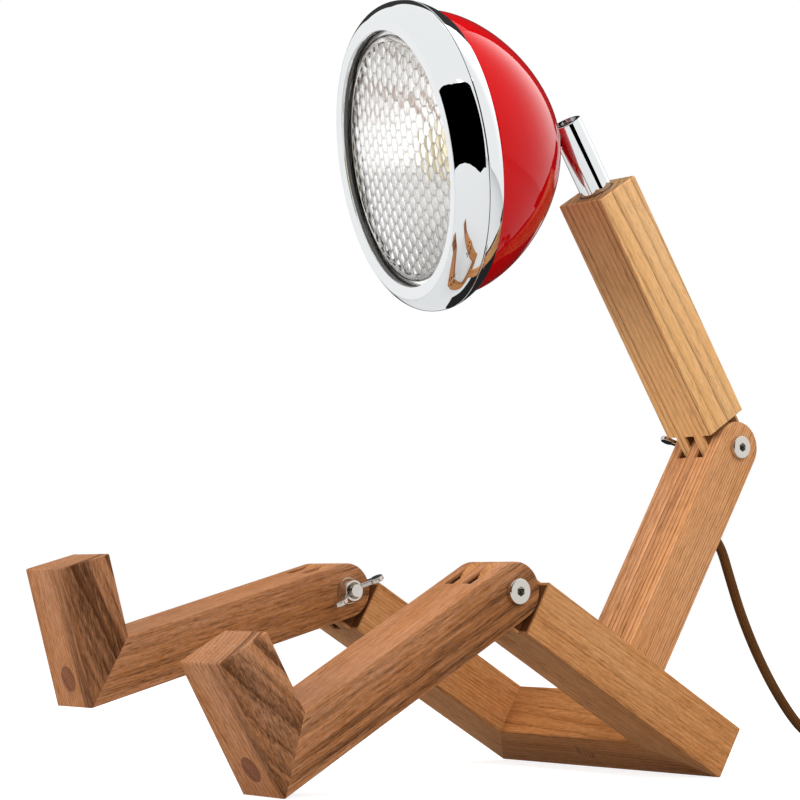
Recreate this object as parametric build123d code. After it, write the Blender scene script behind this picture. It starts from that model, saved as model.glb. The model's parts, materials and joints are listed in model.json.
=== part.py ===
from build123d import *

import math
import os

# A table lamp in the shape of a seated figure: square wooden bars joined by finger knuckles with
# bolts and wing nuts, and a round enamelled lamp head on a swivelling neck tube.
# +Z is up, the figure faces -Y and its left side is +X. Lengths are millimetres, angles degrees.
# Every knuckled bar is first made with its bolt at the origin, along X, and its length down -Z.

# ---- Wooden bars ----
BAR_W = 32.0  # width of a bar, along its joint bolts
BAR_D = 26.0  # depth of a bar, and twice the radius of its rounded end
EDGE = 0.8  # radius of the eased edges
LAYERS = 5  # tongues and slots across one knuckle
SIDE_PLAY = 0.1  # sideways clearance on each flank of a tongue
HIP_W = 160.0  # outside width of the U-shaped hip frame
THIGH_L = 147.0  # back of the pelvis to the knee bolt
SHIN_L = 147.0  # knee bolt to the sole
FOOT_UP = 64.0  # heel to toe
LOWER_TORSO_L = 147.5  # top of the pelvis to the waist bolt
UPPER_TORSO_L = 147.5  # waist bolt to the top of the torso
THIGH_SHOULDER = 14.5  # knee bolt to the shoulders beside the thigh's tongues
SHIN_SLOT = 16.0  # knee bolt to the floors of the shin's slots
LOWER_SLOT = 13.6  # waist bolt to the floors of the lower torso's slots
UPPER_SHOULDER = 14.7  # waist bolt to the shoulders of the upper torso

# ---- Posture ----
HIP_ANGLE = 30.2  # thighs above the table
RIGHT_SHIN_ANGLE = 15.93  # below level; the left heel rests on the table
TORSO_ANGLE = 32.8  # upper torso forward of upright
SWIVEL_ANGLE = 14.6  # head towards the figure's right
HEAD_ANGLE = 20.7  # head above square to the neck

# ---- Dowels ----
DOWEL_R = 6.0
FOOT_DOWEL_L = 40.0
TORSO_DOWEL_GRIP = 24.0  # length inside the lower torso

# ---- Joint bolts, washers and wing nuts ----
BOLT_R = 3.0
BOLT_L = 40.0
BOLT_HEAD_R = 5.7
BOLT_HEAD_H = 3.0
BOLT_HEAD_EDGE = 0.7
SOCKET_AF = 4.0
SOCKET_DEPTH = 2.4
RUN_FIT = 0.05  # clearance of a shaft that turns, on the radius
WASHER_R = 6.2
WASHER_T = 1.2
NUT_BASE_R = 6.0
NUT_TOP_R = 4.9
NUT_H = 4.4
NUT_CHAMFER = 1.0  # of the thread's mouth
WING_SPAN = 30.0
WING_FOOT = 1.1  # wings' underside above the washer
WING_RISE = 11.5  # wing tips above the washer
WING_TIP_R = 3.4
WING_T = 2.2
NUT_ANGLE = {"left": 40.0, "right": 28.3, "waist": 155.0}  # of the wings, about +X, from +Y
HALF_TURN = 180.0

# ---- Neck ----
TUBE_R = 8.0
TUBE_WALL = 1.5
TUBE_OUT = 37.5  # above the torso
TUBE_IN = 30.0  # inside the torso
TUBE_LIP = 0.4  # rounding of the tube's ends
BUSH_WALL = 0.85
PIVOT_UP = 30.6  # torso top to the tilt pin
GRUB_R = 2.5
GRUB_L = 8.0
GRUB_TIP_R = 1.2
GRUB_DOWN = 15.0  # torso top to the grub screw
GROOVE_W = 3.0
GROOVE_DEPTH = 0.7
TIP_PLAY = 0.2
PIN_R = 2.0
PIN_SEAT = 0.8  # depth of the pin's blind holes in the tube wall
STUD_R = 2.5
STUD_EYE_R = 4.6
STUD_EYE_W = 6.0
STUD_PROUD = 1.5  # stud's end in front of its nut
COLLAR_R = 4.2
COLLAR_T = 0.8
NOTCH_PLAY = 0.3
NOTCH_DOWN = 0.5  # centre of the notch's round bottom below the pin
STUD_NUT_AF = 8.0
STUD_NUT_T = 4.0

# ---- Lamp head: distances A along its axis from the tilt pin, and radii ----
SHELL_RIM_A = 71.5
SHELL_R = 68.5
SHELL_DEPTH = 60.43  # full depth of the bowl's curve
SHELL_FULLNESS = 1.62  # exponent of the bowl's superellipse
SHELL_WALL = 1.2
SHELL_LAND_R = 7.0  # flat land round the stud
SHELL_FLANGE = 8.5  # straight flange in front of the bowl
BAND_W = 9.4  # clamp band, along the axis
BAND_FLARE = 5.6  # from the shell out to the seam
SEAM_GAP = 0.3
TRIM_WALL = 0.9
RING_W = 14.6  # trim ring, along the axis
RING_TAPER = 6.7  # from the seam in to the ring's front edge
LIP_W = 6.2  # turned-in lip round the lens
LIP_DIP = 0.6
TRIM_BULGE = 2.6  # of the trim ring's side outside its chord
BAND_BULGE = 0.5
GASKET_T = 1.6
SEAT_PLAY = 0.05
RIM_GRIP = 3.4  # of the lens, the gasket and the reflector under the lip
LENS_T = 2.4
LENS_FLAT = 3.2  # level border of the lens inside the lip
LENS_STEP = 0.5
LENS_DOME = 2.4
REFLECTOR_WALL = 0.9
REFLECTOR_FLAT = 1.0  # from the lens's dome out to the reflector's dish
REFLECTOR_HOLE_R = 17.0
REFLECTOR_BACK_A = 40.0
RETAINER_T = 1.2
RETAINER_INSET = 0.8  # from the lip's edge out to the retaining ring
RETAINER_PLAY = 0.6
HOLDER_R = 13.5
HOLDER_FOOT_R = 6.4
HOLDER_FOOT_H = 3.6
HOLDER_FRONT_A = 41.0
HOLDER_FLANGE_R = 19.0
HOLDER_FLANGE_T = 1.8
CAP_R = 6.9
CAP_BACK_A = 23.0
CAP_PLAY = 0.2
BULB_R = 15.0
BULB_A = 62.0
BULB_MEET = 50.0  # angle round the globe at which its neck begins

# ---- Cord and what is on it, with places on the table counted from the hips' back edge ----
CORD_D = 5.0
BEND_SHARE = 0.45  # of a run, at each of its ends, that a bend takes
CORD_EXIT_UP = 107.8  # above the pelvis, up the back of the lower torso
GROMMET_R = 6.0
GROMMET_T = 1.2
GROMMET_DEPTH = 10.0
GROMMET_SLEEVE_R = 4.5
WIRE_R = 2.5
SWITCH_Y = 164.0
SWITCH_L = 62.0
SWITCH_W = 27.0
SWITCH_H = 18.0
SWITCH_AXIS_Z = 8.0
SWITCH_CORNER = 6.0
SWITCH_TOP_EDGE = 2.5
SWITCH_NOZZLE_R = 4.4
SWITCH_NOZZLE_L = 6.0
ROCKER_L = 20.0
ROCKER_W = 11.0
ROCKER_PLAY = 0.4
ROCKER_DROP = 6.0  # pocket depth
ROCKER_ANGLE = 7.0
ROCKER_PIN_R = 1.2
ROCKER_PIN_GRIP = 1.5
COIL_X = 46.0
COIL_Y = 272.0
COIL_R = 27.5  # middle of the turns
COIL_TURNS = 8.5
COIL_LAYERS = 2
COIL_PITCH = 5.1
TIE_T = 0.8
TIE_W = 12.0
PLUG_X = 79.0
PLUG_Y = 209.5
PLUG_W = 35.0
PLUG_WAIST_W = 21.7
PLUG_H = 13.8
PLUG_BODY_L = 32.0
PLUG_NOZZLE_R = 4.2
PLUG_NOZZLE_L = 20.0
PLUG_PIN_R = 2.0
PLUG_PIN_L = 19.0
PLUG_PIN_SPACING = 18.6

# ---- Worked out from the above ----
SEAM_A = SHELL_RIM_A + BAND_W
SEAM_R = SHELL_R + BAND_FLARE
RING_A = SEAM_A + RING_W
RING_R = SEAM_R - RING_TAPER
MOUTH_A = RING_A - LIP_DIP
MOUTH_R = RING_R - LIP_W
RIM_R = MOUTH_R + RIM_GRIP
LENS_FACE_R = MOUTH_R - LENS_FLAT
REFLECTOR_R = LENS_FACE_R + REFLECTOR_FLAT
RETAINER_R = MOUTH_R + RETAINER_INSET
LAYER_T = BAR_W / LAYERS
END_R = BAR_D / 2
PIN_HOLE_R = BOLT_R + RUN_FIT
REACH = 2 * (THIGH_L + SHIN_L)  # larger than any bar, for tools that cut half spaces
SIDES = {"left": 1, "right": -1}


def resting_shin_angle() -> float:
    """Angle below level of a shin whose heel is on the table with the pelvis."""
    hip = math.radians(HIP_ANGLE)
    knee_up = THIGH_L * math.sin(hip) + END_R * math.cos(hip)
    return math.degrees(math.asin(knee_up / math.hypot(SHIN_L, END_R)) - math.atan2(END_R, SHIN_L))


SHIN_ANGLE = {"left": resting_shin_angle(), "right": RIGHT_SHIN_ANGLE}
HIPS = Rot(X=-HIP_ANGLE)
LOWER_TORSO = HIPS * Pos(0, -BAR_W / 2, BAR_D)
WAIST = LOWER_TORSO * Pos(0, 0, LOWER_TORSO_L)
UPPER_TORSO = Pos(*WAIST.position) * Rot(X=TORSO_ANGLE)
NECK = UPPER_TORSO * Pos(0, 0, UPPER_TORSO_L)
PIVOT = NECK * Pos(0, 0, PIVOT_UP)
TILT = PIVOT * Rot(Z=-SWIVEL_ANGLE) * Rot(X=-HEAD_ANGLE)
HEAD = TILT * Rot(X=90)  # its +Z looks out of the lamp
KNEES = {
    side: Pos(*(HIPS * Pos(sign * (HIP_W - BAR_W) / 2, -THIGH_L, BAR_D / 2)).position)
    * Rot(X=SHIN_ANGLE[side])
    for side, sign in SIDES.items()
}


# ---- Tools ----


def rod(radius: float, length: float) -> Part:
    """A cylinder along X, centred on the origin."""
    return Rot(Y=90) * Cylinder(radius, length)


def turned(profile: Face) -> Part:
    """A body of revolution about Z from a face drawn as (radius, height)."""
    return revolve(Plane.XZ * profile, Axis.Z)


def half_space(forward: bool) -> Part:
    """A large block whose face lies in the XZ plane, on the -Y side when forward."""
    return Box(REACH, REACH, REACH, align=(Align.CENTER, Align.MAX if forward else Align.MIN, Align.CENTER))


def knuckle_slots(slots: tuple[int, ...], floor: float) -> Part:
    """Blocks that open the given layers of a bar from its rounded end down to the floor."""
    blocks = []
    for layer in slots:
        low = -BAR_W / 2 + layer * LAYER_T - (SIDE_PLAY if layer else EDGE)
        high = -BAR_W / 2 + (layer + 1) * LAYER_T + (SIDE_PLAY if layer < LAYERS - 1 else EDGE)
        block = Box(high - low, 2 * BAR_D, floor + BAR_D, align=(Align.MIN, Align.CENTER, Align.MIN))
        blocks.append(Pos(low, 0, -floor) * block)
    return Part() + blocks


def knuckled_bar(length: float, slots: tuple[int, ...], floor: float) -> Part:
    """An eased bar down -Z from the bolt at the origin, rounded there and cut into tongues."""
    side = Pos(0, -length / 2) * Rectangle(BAR_D, length) + Circle(END_R)
    bar = extrude(Plane.YZ * side, BAR_W / 2, both=True)
    at_end = bar.faces().sort_by(Axis.Z)[0].edges()
    at_sides = bar.edges().filter_by(lambda edge: abs(edge.center().X) > BAR_W / 2 - EDGE / 2)
    bar = fillet(set(at_end + at_sides), EDGE)
    return bar - knuckle_slots(slots, floor) - rod(PIN_HOLE_R, 2 * BAR_W)


# ---- Hips ----


def hip_half_space(sign: int, outside: bool) -> Part:
    """A large block on one side of a hip mitre: outside it lies the thigh, inside it the pelvis."""
    side = Align.MIN if (sign > 0) == outside else Align.MAX
    block = Box(REACH, REACH, REACH, align=(side, Align.CENTER, Align.CENTER))
    return Pos(sign * HIP_W / 2, 0, 0) * Rot(Z=-45 * sign) * block


def pelvis_bar() -> Part:
    """The crossbar of the hip frame, mitred at both ends and drilled for the torso dowel."""
    bar = Box(HIP_W + BAR_W, BAR_W, BAR_D, align=(Align.CENTER, Align.MAX, Align.MIN))
    bar = fillet(bar.edges().filter_by(Axis.X), EDGE)
    for sign in SIDES.values():
        bar -= hip_half_space(sign, outside=True)
    return HIPS * bar - torso_dowel()


def thigh(side: str) -> Part:
    """One side bar of the hip frame, from its mitre to the two tongues at the knee."""
    sign = SIDES[side]
    bar = Rot(X=90) * knuckled_bar(THIGH_L + BAR_W, (0, 2, 4), THIGH_SHOULDER)
    bar = Pos(sign * (HIP_W - BAR_W) / 2, -THIGH_L, BAR_D / 2) * bar
    return HIPS * (bar - hip_half_space(sign, outside=False))


def torso_dowel() -> Part:
    """The dowel that comes up through the pelvis into the lower torso, flush underneath."""
    length = BAR_D + TORSO_DOWEL_GRIP
    dowel = Cylinder(DOWEL_R, length, align=(Align.CENTER, Align.CENTER, Align.MIN))
    return HIPS * Pos(0, -BAR_W / 2, 0) * dowel


# ---- Legs ----


def mitre(side: str) -> Location:
    """The plane of the joint between shin and foot, facing the foot."""
    return KNEES[side] * Pos(0, -SHIN_L + BAR_D / 2, 0) * Rot(X=-45)


def foot_dowel(side: str) -> Part:
    """The dowel through the sole into the shin, flush with the sole."""
    dowel = Rot(X=90) * Cylinder(DOWEL_R, FOOT_DOWEL_L, align=(Align.CENTER, Align.CENTER, Align.MAX))
    return KNEES[side] * Pos(0, -SHIN_L, 0) * dowel


def shin(side: str) -> Part:
    """The lower leg: three tongues at the knee, a mitre at the ankle."""
    bar = KNEES[side] * Rot(X=-90) * knuckled_bar(SHIN_L + BAR_D, (1, 3), SHIN_SLOT)
    return bar - mitre(side) * half_space(forward=True) - foot_dowel(side)


def foot(side: str) -> Part:
    """The foot: a short bar up from the heel, mitred to the shin."""
    below = 2 * BAR_D  # spare length that the mitre takes off
    block = Box(BAR_W, BAR_D, FOOT_UP + below, align=(Align.CENTER, Align.MIN, Align.MAX))
    block = fillet(block.edges(), EDGE)
    block = KNEES[side] * Pos(0, -SHIN_L, FOOT_UP - BAR_D / 2) * block
    return block - mitre(side) * half_space(forward=False) - foot_dowel(side)


# ---- Torso ----


def cord_hole() -> Location:
    """Where the cord leaves the back of the lower torso: on its face, +Z pointing out."""
    return LOWER_TORSO * Pos(0, BAR_D / 2, CORD_EXIT_UP) * Rot(X=-90)


def lower_torso() -> Part:
    """The bar on the pelvis: three tongues at the waist, a stepped cord hole and a wire channel."""
    bar = WAIST * knuckled_bar(LOWER_TORSO_L + BAR_D, (1, 3), LOWER_SLOT)
    bar -= LOWER_TORSO * Box(REACH, REACH, REACH, align=(Align.CENTER, Align.CENTER, Align.MAX))
    sleeve = Cylinder(GROMMET_SLEEVE_R, GROMMET_DEPTH, align=(Align.CENTER, Align.CENTER, Align.MAX))
    inner = Cylinder(WIRE_R, BAR_D / 2, align=(Align.CENTER, Align.CENTER, Align.MAX))
    rise = LOWER_TORSO_L - LOWER_SLOT - CORD_EXIT_UP
    channel = Cylinder(WIRE_R, rise + EDGE, align=(Align.CENTER, Align.CENTER, Align.MIN))
    bar -= cord_hole() * (sleeve + inner)
    bar -= LOWER_TORSO * Pos(LAYER_T, 0, CORD_EXIT_UP) * channel
    return bar - torso_dowel()


def upper_torso() -> Part:
    """The leaning bar: two tongues at the waist, the neck bore, the grub screw's hole and a wire channel."""
    bar = Rot(X=180) * knuckled_bar(UPPER_TORSO_L, (0, 2, 4), UPPER_SHOULDER)
    top = Pos(0, 0, UPPER_TORSO_L)
    bush_r = TUBE_R + RUN_FIT + BUSH_WALL
    bar -= top * Cylinder(bush_r, TUBE_IN, align=(Align.CENTER, Align.CENTER, Align.MAX))
    bar -= Pos(0, 0, UPPER_SHOULDER) * Cylinder(
        WIRE_R, UPPER_TORSO_L - UPPER_SHOULDER, align=(Align.CENTER, Align.CENTER, Align.MIN)
    )
    return UPPER_TORSO * bar - grub_hole()


# ---- Fasteners ----


def bolt() -> Part:
    """A joint bolt along X through a bar at the origin, its socket head on the -X side."""
    head = Cylinder(BOLT_HEAD_R, BOLT_HEAD_H, align=(Align.CENTER, Align.CENTER, Align.MAX))
    head = fillet(head.edges().sort_by(Axis.Z)[0], BOLT_HEAD_EDGE)
    socket = extrude(RegularPolygon(SOCKET_AF / 2, 6, major_radius=False), SOCKET_DEPTH)
    shank = Cylinder(BOLT_R, BOLT_L, align=(Align.CENTER, Align.CENTER, Align.MIN))
    return Pos(-BAR_W / 2, 0, 0) * Rot(Y=90) * (head + shank - Pos(0, 0, -BOLT_HEAD_H) * socket)


def washer() -> Part:
    """The washer on the +X side of a bar at the origin."""
    ring = Cylinder(WASHER_R, WASHER_T) - Cylinder(BOLT_R + RUN_FIT, WASHER_T)
    return Pos(BAR_W / 2 + WASHER_T / 2, 0, 0) * Rot(Y=90) * ring


def wing_nut(turn: float) -> Part:
    """The wing nut on the washer, its wings turned about X from +Y."""
    hub = Cone(NUT_BASE_R, NUT_TOP_R, NUT_H, align=(Align.CENTER, Align.CENTER, Align.MIN))
    tip_r, tip_up = WING_SPAN / 2, WING_RISE - WING_TIP_R
    outline = Polygon(
        (BOLT_R, WING_FOOT), (NUT_BASE_R, WING_FOOT), (tip_r, tip_up), (tip_r - 2 * WING_TIP_R, tip_up),
        (BOLT_R, NUT_H - WING_T / 4), align=None
    )
    outline += Pos(tip_r - WING_TIP_R, tip_up) * Circle(WING_TIP_R)
    wing = extrude(Plane.XZ * outline, WING_T / 2, both=True)
    wing = fillet(wing.edges().filter_by(lambda edge: abs(edge.center().Y) > WING_T / 3), WING_T / 4)
    body = hub + wing + Rot(Z=180) * wing
    bore = BOLT_R + RUN_FIT
    body -= Cylinder(bore, 4 * NUT_H)
    body -= Pos(0, 0, NUT_H - NUT_CHAMFER) * Cone(
        bore, bore + NUT_CHAMFER, NUT_CHAMFER, align=(Align.CENTER, Align.CENTER, Align.MIN)
    )
    return Pos(BAR_W / 2 + WASHER_T, 0, 0) * Rot(X=turn) * Rot(Z=90) * Rot(X=90) * body


def facing(sign: int) -> Location:
    """Turns a bolt set end for end about Z when its head goes on the +X side."""
    return Rot(Z=180 if sign > 0 else 0)


def set_at(place: Location, head_sign: int, turn: float) -> dict[str, Part]:
    """Bolt, washer and wing nut in the bar at a place, with the bolt head on the given side of X."""
    about = Pos(*place.position) * facing(head_sign)
    return {
        "bolt": about * bolt(),
        "washer": about * washer(),
        "wing_nut": about * wing_nut(HALF_TURN - turn if head_sign > 0 else turn),
    }


# ---- Neck ----


def grub_hole() -> Part:
    """The threaded cross hole at the back of the upper torso."""
    depth = BAR_D / 2
    hole = Cylinder(GRUB_R, depth, align=(Align.CENTER, Align.CENTER, Align.MIN))
    return NECK * Pos(0, 0, -GRUB_DOWN) * Rot(X=-90) * hole


def neck_grub_screw() -> Part:
    """A dog point screw whose tip runs in the tube's groove."""
    tip_end = TUBE_R - GROOVE_DEPTH + TIP_PLAY
    body_end = TUBE_R + RUN_FIT
    screw = Cylinder(GRUB_R, GRUB_L / 2, align=(Align.CENTER, Align.CENTER, Align.MIN))
    screw = Pos(0, 0, body_end + TIP_PLAY) * screw
    screw += Pos(0, 0, tip_end) * Cylinder(
        GRUB_TIP_R, body_end - tip_end + GRUB_L / 4, align=(Align.CENTER, Align.CENTER, Align.MIN)
    )
    socket = extrude(RegularPolygon(GRUB_R / 2, 6, major_radius=False), SOCKET_DEPTH)
    screw -= Pos(0, 0, body_end + TIP_PLAY + GRUB_L / 2 - SOCKET_DEPTH) * socket
    return NECK * Pos(0, 0, -GRUB_DOWN) * Rot(X=-90) * screw


def neck_bush() -> Part:
    """The plain sleeve in the torso that the tube turns in."""
    ring = Cylinder(TUBE_R + RUN_FIT + BUSH_WALL, TUBE_IN, align=(Align.CENTER, Align.CENTER, Align.MAX))
    ring -= Cylinder(TUBE_R + RUN_FIT, TUBE_IN, align=(Align.CENTER, Align.CENTER, Align.MAX))
    return NECK * ring - grub_hole()


def neck_tube() -> Part:
    """The chromed tube: open top with a notch for the stud, blind pin holes, a groove for the screw."""
    length = TUBE_OUT + TUBE_IN
    tube = Cylinder(TUBE_R, length, align=(Align.CENTER, Align.CENTER, Align.MAX))
    tube = fillet(tube.edges().filter_by(GeomType.CIRCLE), TUBE_LIP)
    tube -= Cylinder(TUBE_R - TUBE_WALL, length, align=(Align.CENTER, Align.CENTER, Align.MAX))
    groove = Cylinder(TUBE_R + TIP_PLAY, GROOVE_W) - Cylinder(TUBE_R - GROOVE_DEPTH, GROOVE_W)
    tube -= Pos(0, 0, -TUBE_OUT - GRUB_DOWN) * groove
    pin_z = PIVOT_UP - TUBE_OUT
    tube -= Pos(0, 0, pin_z) * rod(PIN_R, 2 * (TUBE_R - TUBE_WALL + PIN_SEAT))
    half = STUD_R + NOTCH_PLAY
    bottom = Pos(0, 0, pin_z - NOTCH_DOWN)
    tube -= bottom * Rot(X=90) * Cylinder(half, TUBE_R + half, align=(Align.CENTER, Align.CENTER, Align.MIN))
    tube -= bottom * Box(2 * half, TUBE_R + half, TUBE_OUT, align=(Align.CENTER, Align.MAX, Align.MIN))
    return NECK * Pos(0, 0, TUBE_OUT) * Rot(Z=-SWIVEL_ANGLE) * tube


def tilt_pin() -> Part:
    """The cross pin that the head tilts on."""
    return TILT * rod(PIN_R, 2 * (TUBE_R - TUBE_WALL + PIN_SEAT))


def land_a(inset: float = 0) -> float:
    """Place on the axis of the flat land at the back of the shell, outside or at an inset."""
    return bowl_point(bowl_start(inset), inset)[1]


def head_stud() -> Part:
    """The stud that carries the head: an eye on the tilt pin, a shank and a collar against the shell."""
    length = land_a(SHELL_WALL) + HOLDER_FOOT_H + STUD_NUT_T + STUD_PROUD
    stud = rod(STUD_EYE_R, STUD_EYE_W)
    stud += Cylinder(STUD_R, length, align=(Align.CENTER, Align.CENTER, Align.MIN))
    stud += Pos(0, 0, land_a() - COLLAR_T) * Cylinder(
        COLLAR_R, COLLAR_T, align=(Align.CENTER, Align.CENTER, Align.MIN)
    )
    return HEAD * (stud - rod(PIN_R + RUN_FIT, 2 * TUBE_R))


def stud_nut() -> Part:
    """The nut that pulls the lamp holder and the shell onto the stud's collar."""
    nut = extrude(RegularPolygon(STUD_NUT_AF / 2, 6, major_radius=False), STUD_NUT_T)
    nut -= Cylinder(STUD_R, 4 * STUD_NUT_T)
    return HEAD * Pos(0, 0, land_a(SHELL_WALL) + HOLDER_FOOT_H) * nut


# ---- Lamp head ----


def bowl_point(turn: float, inset: float) -> tuple[float, float]:
    """Radius and place of the bowl's superellipse at an inset, for a parameter from 0 at the pole."""
    power = 2 / SHELL_FULLNESS
    radius = (SHELL_R - inset) * math.sin(turn) ** power
    return radius, SHELL_RIM_A - (SHELL_DEPTH - inset) * math.cos(turn) ** power


def bowl_start(inset: float) -> float:
    """Parameter at which the bowl meets its flat land."""
    return math.asin((SHELL_LAND_R / (SHELL_R - inset)) ** (SHELL_FULLNESS / 2))


def bowl_curve(inset: float, steps: int = 12) -> Edge:
    """The bowl's curve from its land to its rim, leaving the rim straight forward."""
    start = bowl_start(inset)
    turns = [start + (math.pi / 2 - start) * i / steps for i in range(steps)]
    points = [bowl_point(turn, inset) for turn in turns] + [(SHELL_R - inset, SHELL_RIM_A)]
    return Spline(*points)


def head_shell() -> Part:
    """The enamelled bowl: one wall thickness, a land at the stud and a flange inside the clamp band."""
    back, inner_land = land_a(), land_a(SHELL_WALL)
    bore = STUD_R + RUN_FIT
    front = SHELL_RIM_A + SHELL_FLANGE
    loop = bowl_curve(0) + bowl_curve(SHELL_WALL)
    loop += Polyline(
        (SHELL_R, SHELL_RIM_A), (SHELL_R, front),
        (SHELL_R - SHELL_WALL, front), (SHELL_R - SHELL_WALL, SHELL_RIM_A)
    )
    loop += Polyline((SHELL_LAND_R, inner_land), (bore, inner_land), (bore, back), (SHELL_LAND_R, back))
    return HEAD * turned(make_face(loop))


def bulged(start: tuple[float, float], end: tuple[float, float], bulge: float) -> Edge:
    """An arc between two (radius, place) points that stands out from its chord by a bulge."""
    (r0, a0), (r1, a1) = start, end
    length = math.hypot(r1 - r0, a1 - a0)
    middle = ((r0 + r1) / 2 + bulge * (a1 - a0) / length, (a0 + a1) / 2 - bulge * (r1 - r0) / length)
    return ThreePointArc(start, middle, end)


def clamp_band() -> Part:
    """The narrow chromed band behind the seam, clamped over the shell's flange."""
    back_out, back_in = (SHELL_R + TRIM_WALL, SHELL_RIM_A), (SHELL_R, SHELL_RIM_A)
    front = SEAM_A - SEAM_GAP / 2
    front_out, front_in = (SEAM_R, front), (SEAM_R - TRIM_WALL, front)
    loop = bulged(back_out, front_out, BAND_BULGE) + bulged(back_in, front_in, BAND_BULGE)
    loop += Line(back_in, back_out)
    loop += Line(front_in, front_out)
    return HEAD * turned(make_face(loop))


def trim_ring() -> Part:
    """The wide chromed ring in front of the seam, turned in round the lens."""
    back = SEAM_A + SEAM_GAP / 2
    loop = bulged((SEAM_R, back), (RING_R, RING_A), TRIM_BULGE)
    loop += Polyline(
        (RING_R, RING_A), (MOUTH_R, MOUTH_A),
        (MOUTH_R, MOUTH_A - TRIM_WALL), (RING_R - TRIM_WALL, RING_A - TRIM_WALL)
    )
    loop += bulged((SEAM_R - TRIM_WALL, back), (RING_R - TRIM_WALL, RING_A - TRIM_WALL), TRIM_BULGE)
    loop += Line((SEAM_R - TRIM_WALL, back), (SEAM_R, back))
    return HEAD * turned(make_face(loop))


def flat_ring(inner: float, outer: float, low: float, high: float) -> Part:
    """A plain ring of revolution."""
    return turned(make_face(Polyline((inner, low), (outer, low), (outer, high), (inner, high), close=True)))


LIP_A = MOUTH_A - TRIM_WALL - SEAT_PLAY  # back of the trim ring's lip
LENS_FRONT_A = LIP_A - GASKET_T - SEAT_PLAY
LENS_BACK_A = LENS_FRONT_A - LENS_T
REFLECTOR_A = LENS_BACK_A - SEAT_PLAY


def lens_gasket() -> Part:
    """The rubber ring between the lens and the trim ring's lip."""
    return HEAD * flat_ring(MOUTH_R, RIM_R, LENS_FRONT_A + SEAT_PLAY, LIP_A)


def lens() -> Part:
    """The pressed glass: a flat flange, a small step and a shallow dome of even thickness."""
    face = LENS_FRONT_A - LENS_STEP
    step_r = LENS_FACE_R + LENS_STEP
    arch = -LENS_DOME / 4  # sagitta of half the dome, which lies level at its centre
    loop = bulged((0, face + LENS_DOME), (LENS_FACE_R, face), arch)
    loop += Polyline(
        (LENS_FACE_R, face), (step_r, LENS_FRONT_A), (RIM_R, LENS_FRONT_A), (RIM_R, LENS_BACK_A),
        (LENS_FACE_R, LENS_BACK_A)
    )
    loop += bulged((0, LENS_BACK_A + LENS_DOME), (LENS_FACE_R, LENS_BACK_A), arch)
    loop += Line((0, LENS_BACK_A + LENS_DOME), (0, face + LENS_DOME))
    return HEAD * turned(make_face(loop))


def dish_curve(offset: float) -> Edge:
    """The reflector's parabola between its hole and its rim, moved out by an offset."""
    slope = (REFLECTOR_R**2 - REFLECTOR_HOLE_R**2) / (REFLECTOR_A - REFLECTOR_WALL - REFLECTOR_BACK_A)
    radii = [REFLECTOR_HOLE_R + (REFLECTOR_R - REFLECTOR_HOLE_R) * i / 8 for i in range(9)]
    back = REFLECTOR_BACK_A - REFLECTOR_HOLE_R**2 / slope
    return Spline(*[(r + offset, back + r**2 / slope) for r in radii])


def reflector() -> Part:
    """The bright dish behind the lens, with a rim that the lens sits on."""
    rim_back = REFLECTOR_A - REFLECTOR_WALL
    loop = dish_curve(0) + dish_curve(REFLECTOR_WALL)
    loop += Polyline(
        (REFLECTOR_R, rim_back), (REFLECTOR_R, REFLECTOR_A), (RIM_R, REFLECTOR_A), (RIM_R, rim_back),
        (REFLECTOR_R + REFLECTOR_WALL, rim_back)
    )
    loop += Line((REFLECTOR_HOLE_R, REFLECTOR_BACK_A), (REFLECTOR_HOLE_R + REFLECTOR_WALL, REFLECTOR_BACK_A))
    return HEAD * turned(make_face(loop))


def trim_inner_r(place: float) -> float:
    """Inner radius of the trim ring's side at a place on the axis, on its chord and bulge."""
    along = (place - SEAM_A) / (RING_A - SEAM_A)
    chord = SEAM_R + (RING_R - SEAM_R) * along
    return chord - TRIM_WALL + 4 * TRIM_BULGE * along * (1 - along)


def retaining_ring() -> Part:
    """The sprung ring inside the trim ring that holds reflector, lens and gasket to its lip."""
    high = REFLECTOR_A - REFLECTOR_WALL - SEAT_PLAY
    low = high - RETAINER_T
    return HEAD * flat_ring(RETAINER_R, trim_inner_r(high) - RETAINER_PLAY, low, high)


def lamp_holder() -> Part:
    """The lamp holder: a foot on the stud, a body with the lamp's socket, a flange under the reflector."""
    foot_a = land_a(SHELL_WALL)
    seat_a = foot_a + HOLDER_FOOT_H
    flange_a = REFLECTOR_BACK_A - SEAT_PLAY - HOLDER_FLANGE_T
    nut_r = STUD_NUT_AF / math.sqrt(3) + CAP_PLAY
    socket_r = CAP_R + CAP_PLAY
    bore = STUD_R + RUN_FIT
    profile = Polyline(
        (bore, foot_a), (HOLDER_FOOT_R, foot_a), (HOLDER_FOOT_R, seat_a), (HOLDER_R, seat_a + HOLDER_FOOT_H),
        (HOLDER_R, flange_a), (HOLDER_FLANGE_R, flange_a), (HOLDER_FLANGE_R, flange_a + HOLDER_FLANGE_T),
        (HOLDER_R, flange_a + HOLDER_FLANGE_T), (HOLDER_R, HOLDER_FRONT_A), (socket_r, HOLDER_FRONT_A),
        (socket_r, CAP_BACK_A - CAP_PLAY), (nut_r, CAP_BACK_A - CAP_PLAY),
        (nut_r, seat_a), (bore, seat_a), close=True
    )
    return HEAD * turned(make_face(profile))


def bulb() -> Part:
    """The lamp: a screw cap, a flared neck and a round globe."""
    neck_a = HOLDER_FRONT_A + CAP_PLAY
    meet = math.radians(BULB_MEET)
    meet_at = (BULB_R * math.sin(meet), BULB_A - BULB_R * math.cos(meet))
    loop = Polyline((0, BULB_A + BULB_R), (0, CAP_BACK_A), (CAP_R, CAP_BACK_A), (CAP_R, neck_a), meet_at)
    loop += ThreePointArc(meet_at, (BULB_R, BULB_A), (0, BULB_A + BULB_R))
    return HEAD * turned(make_face(loop))


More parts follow.
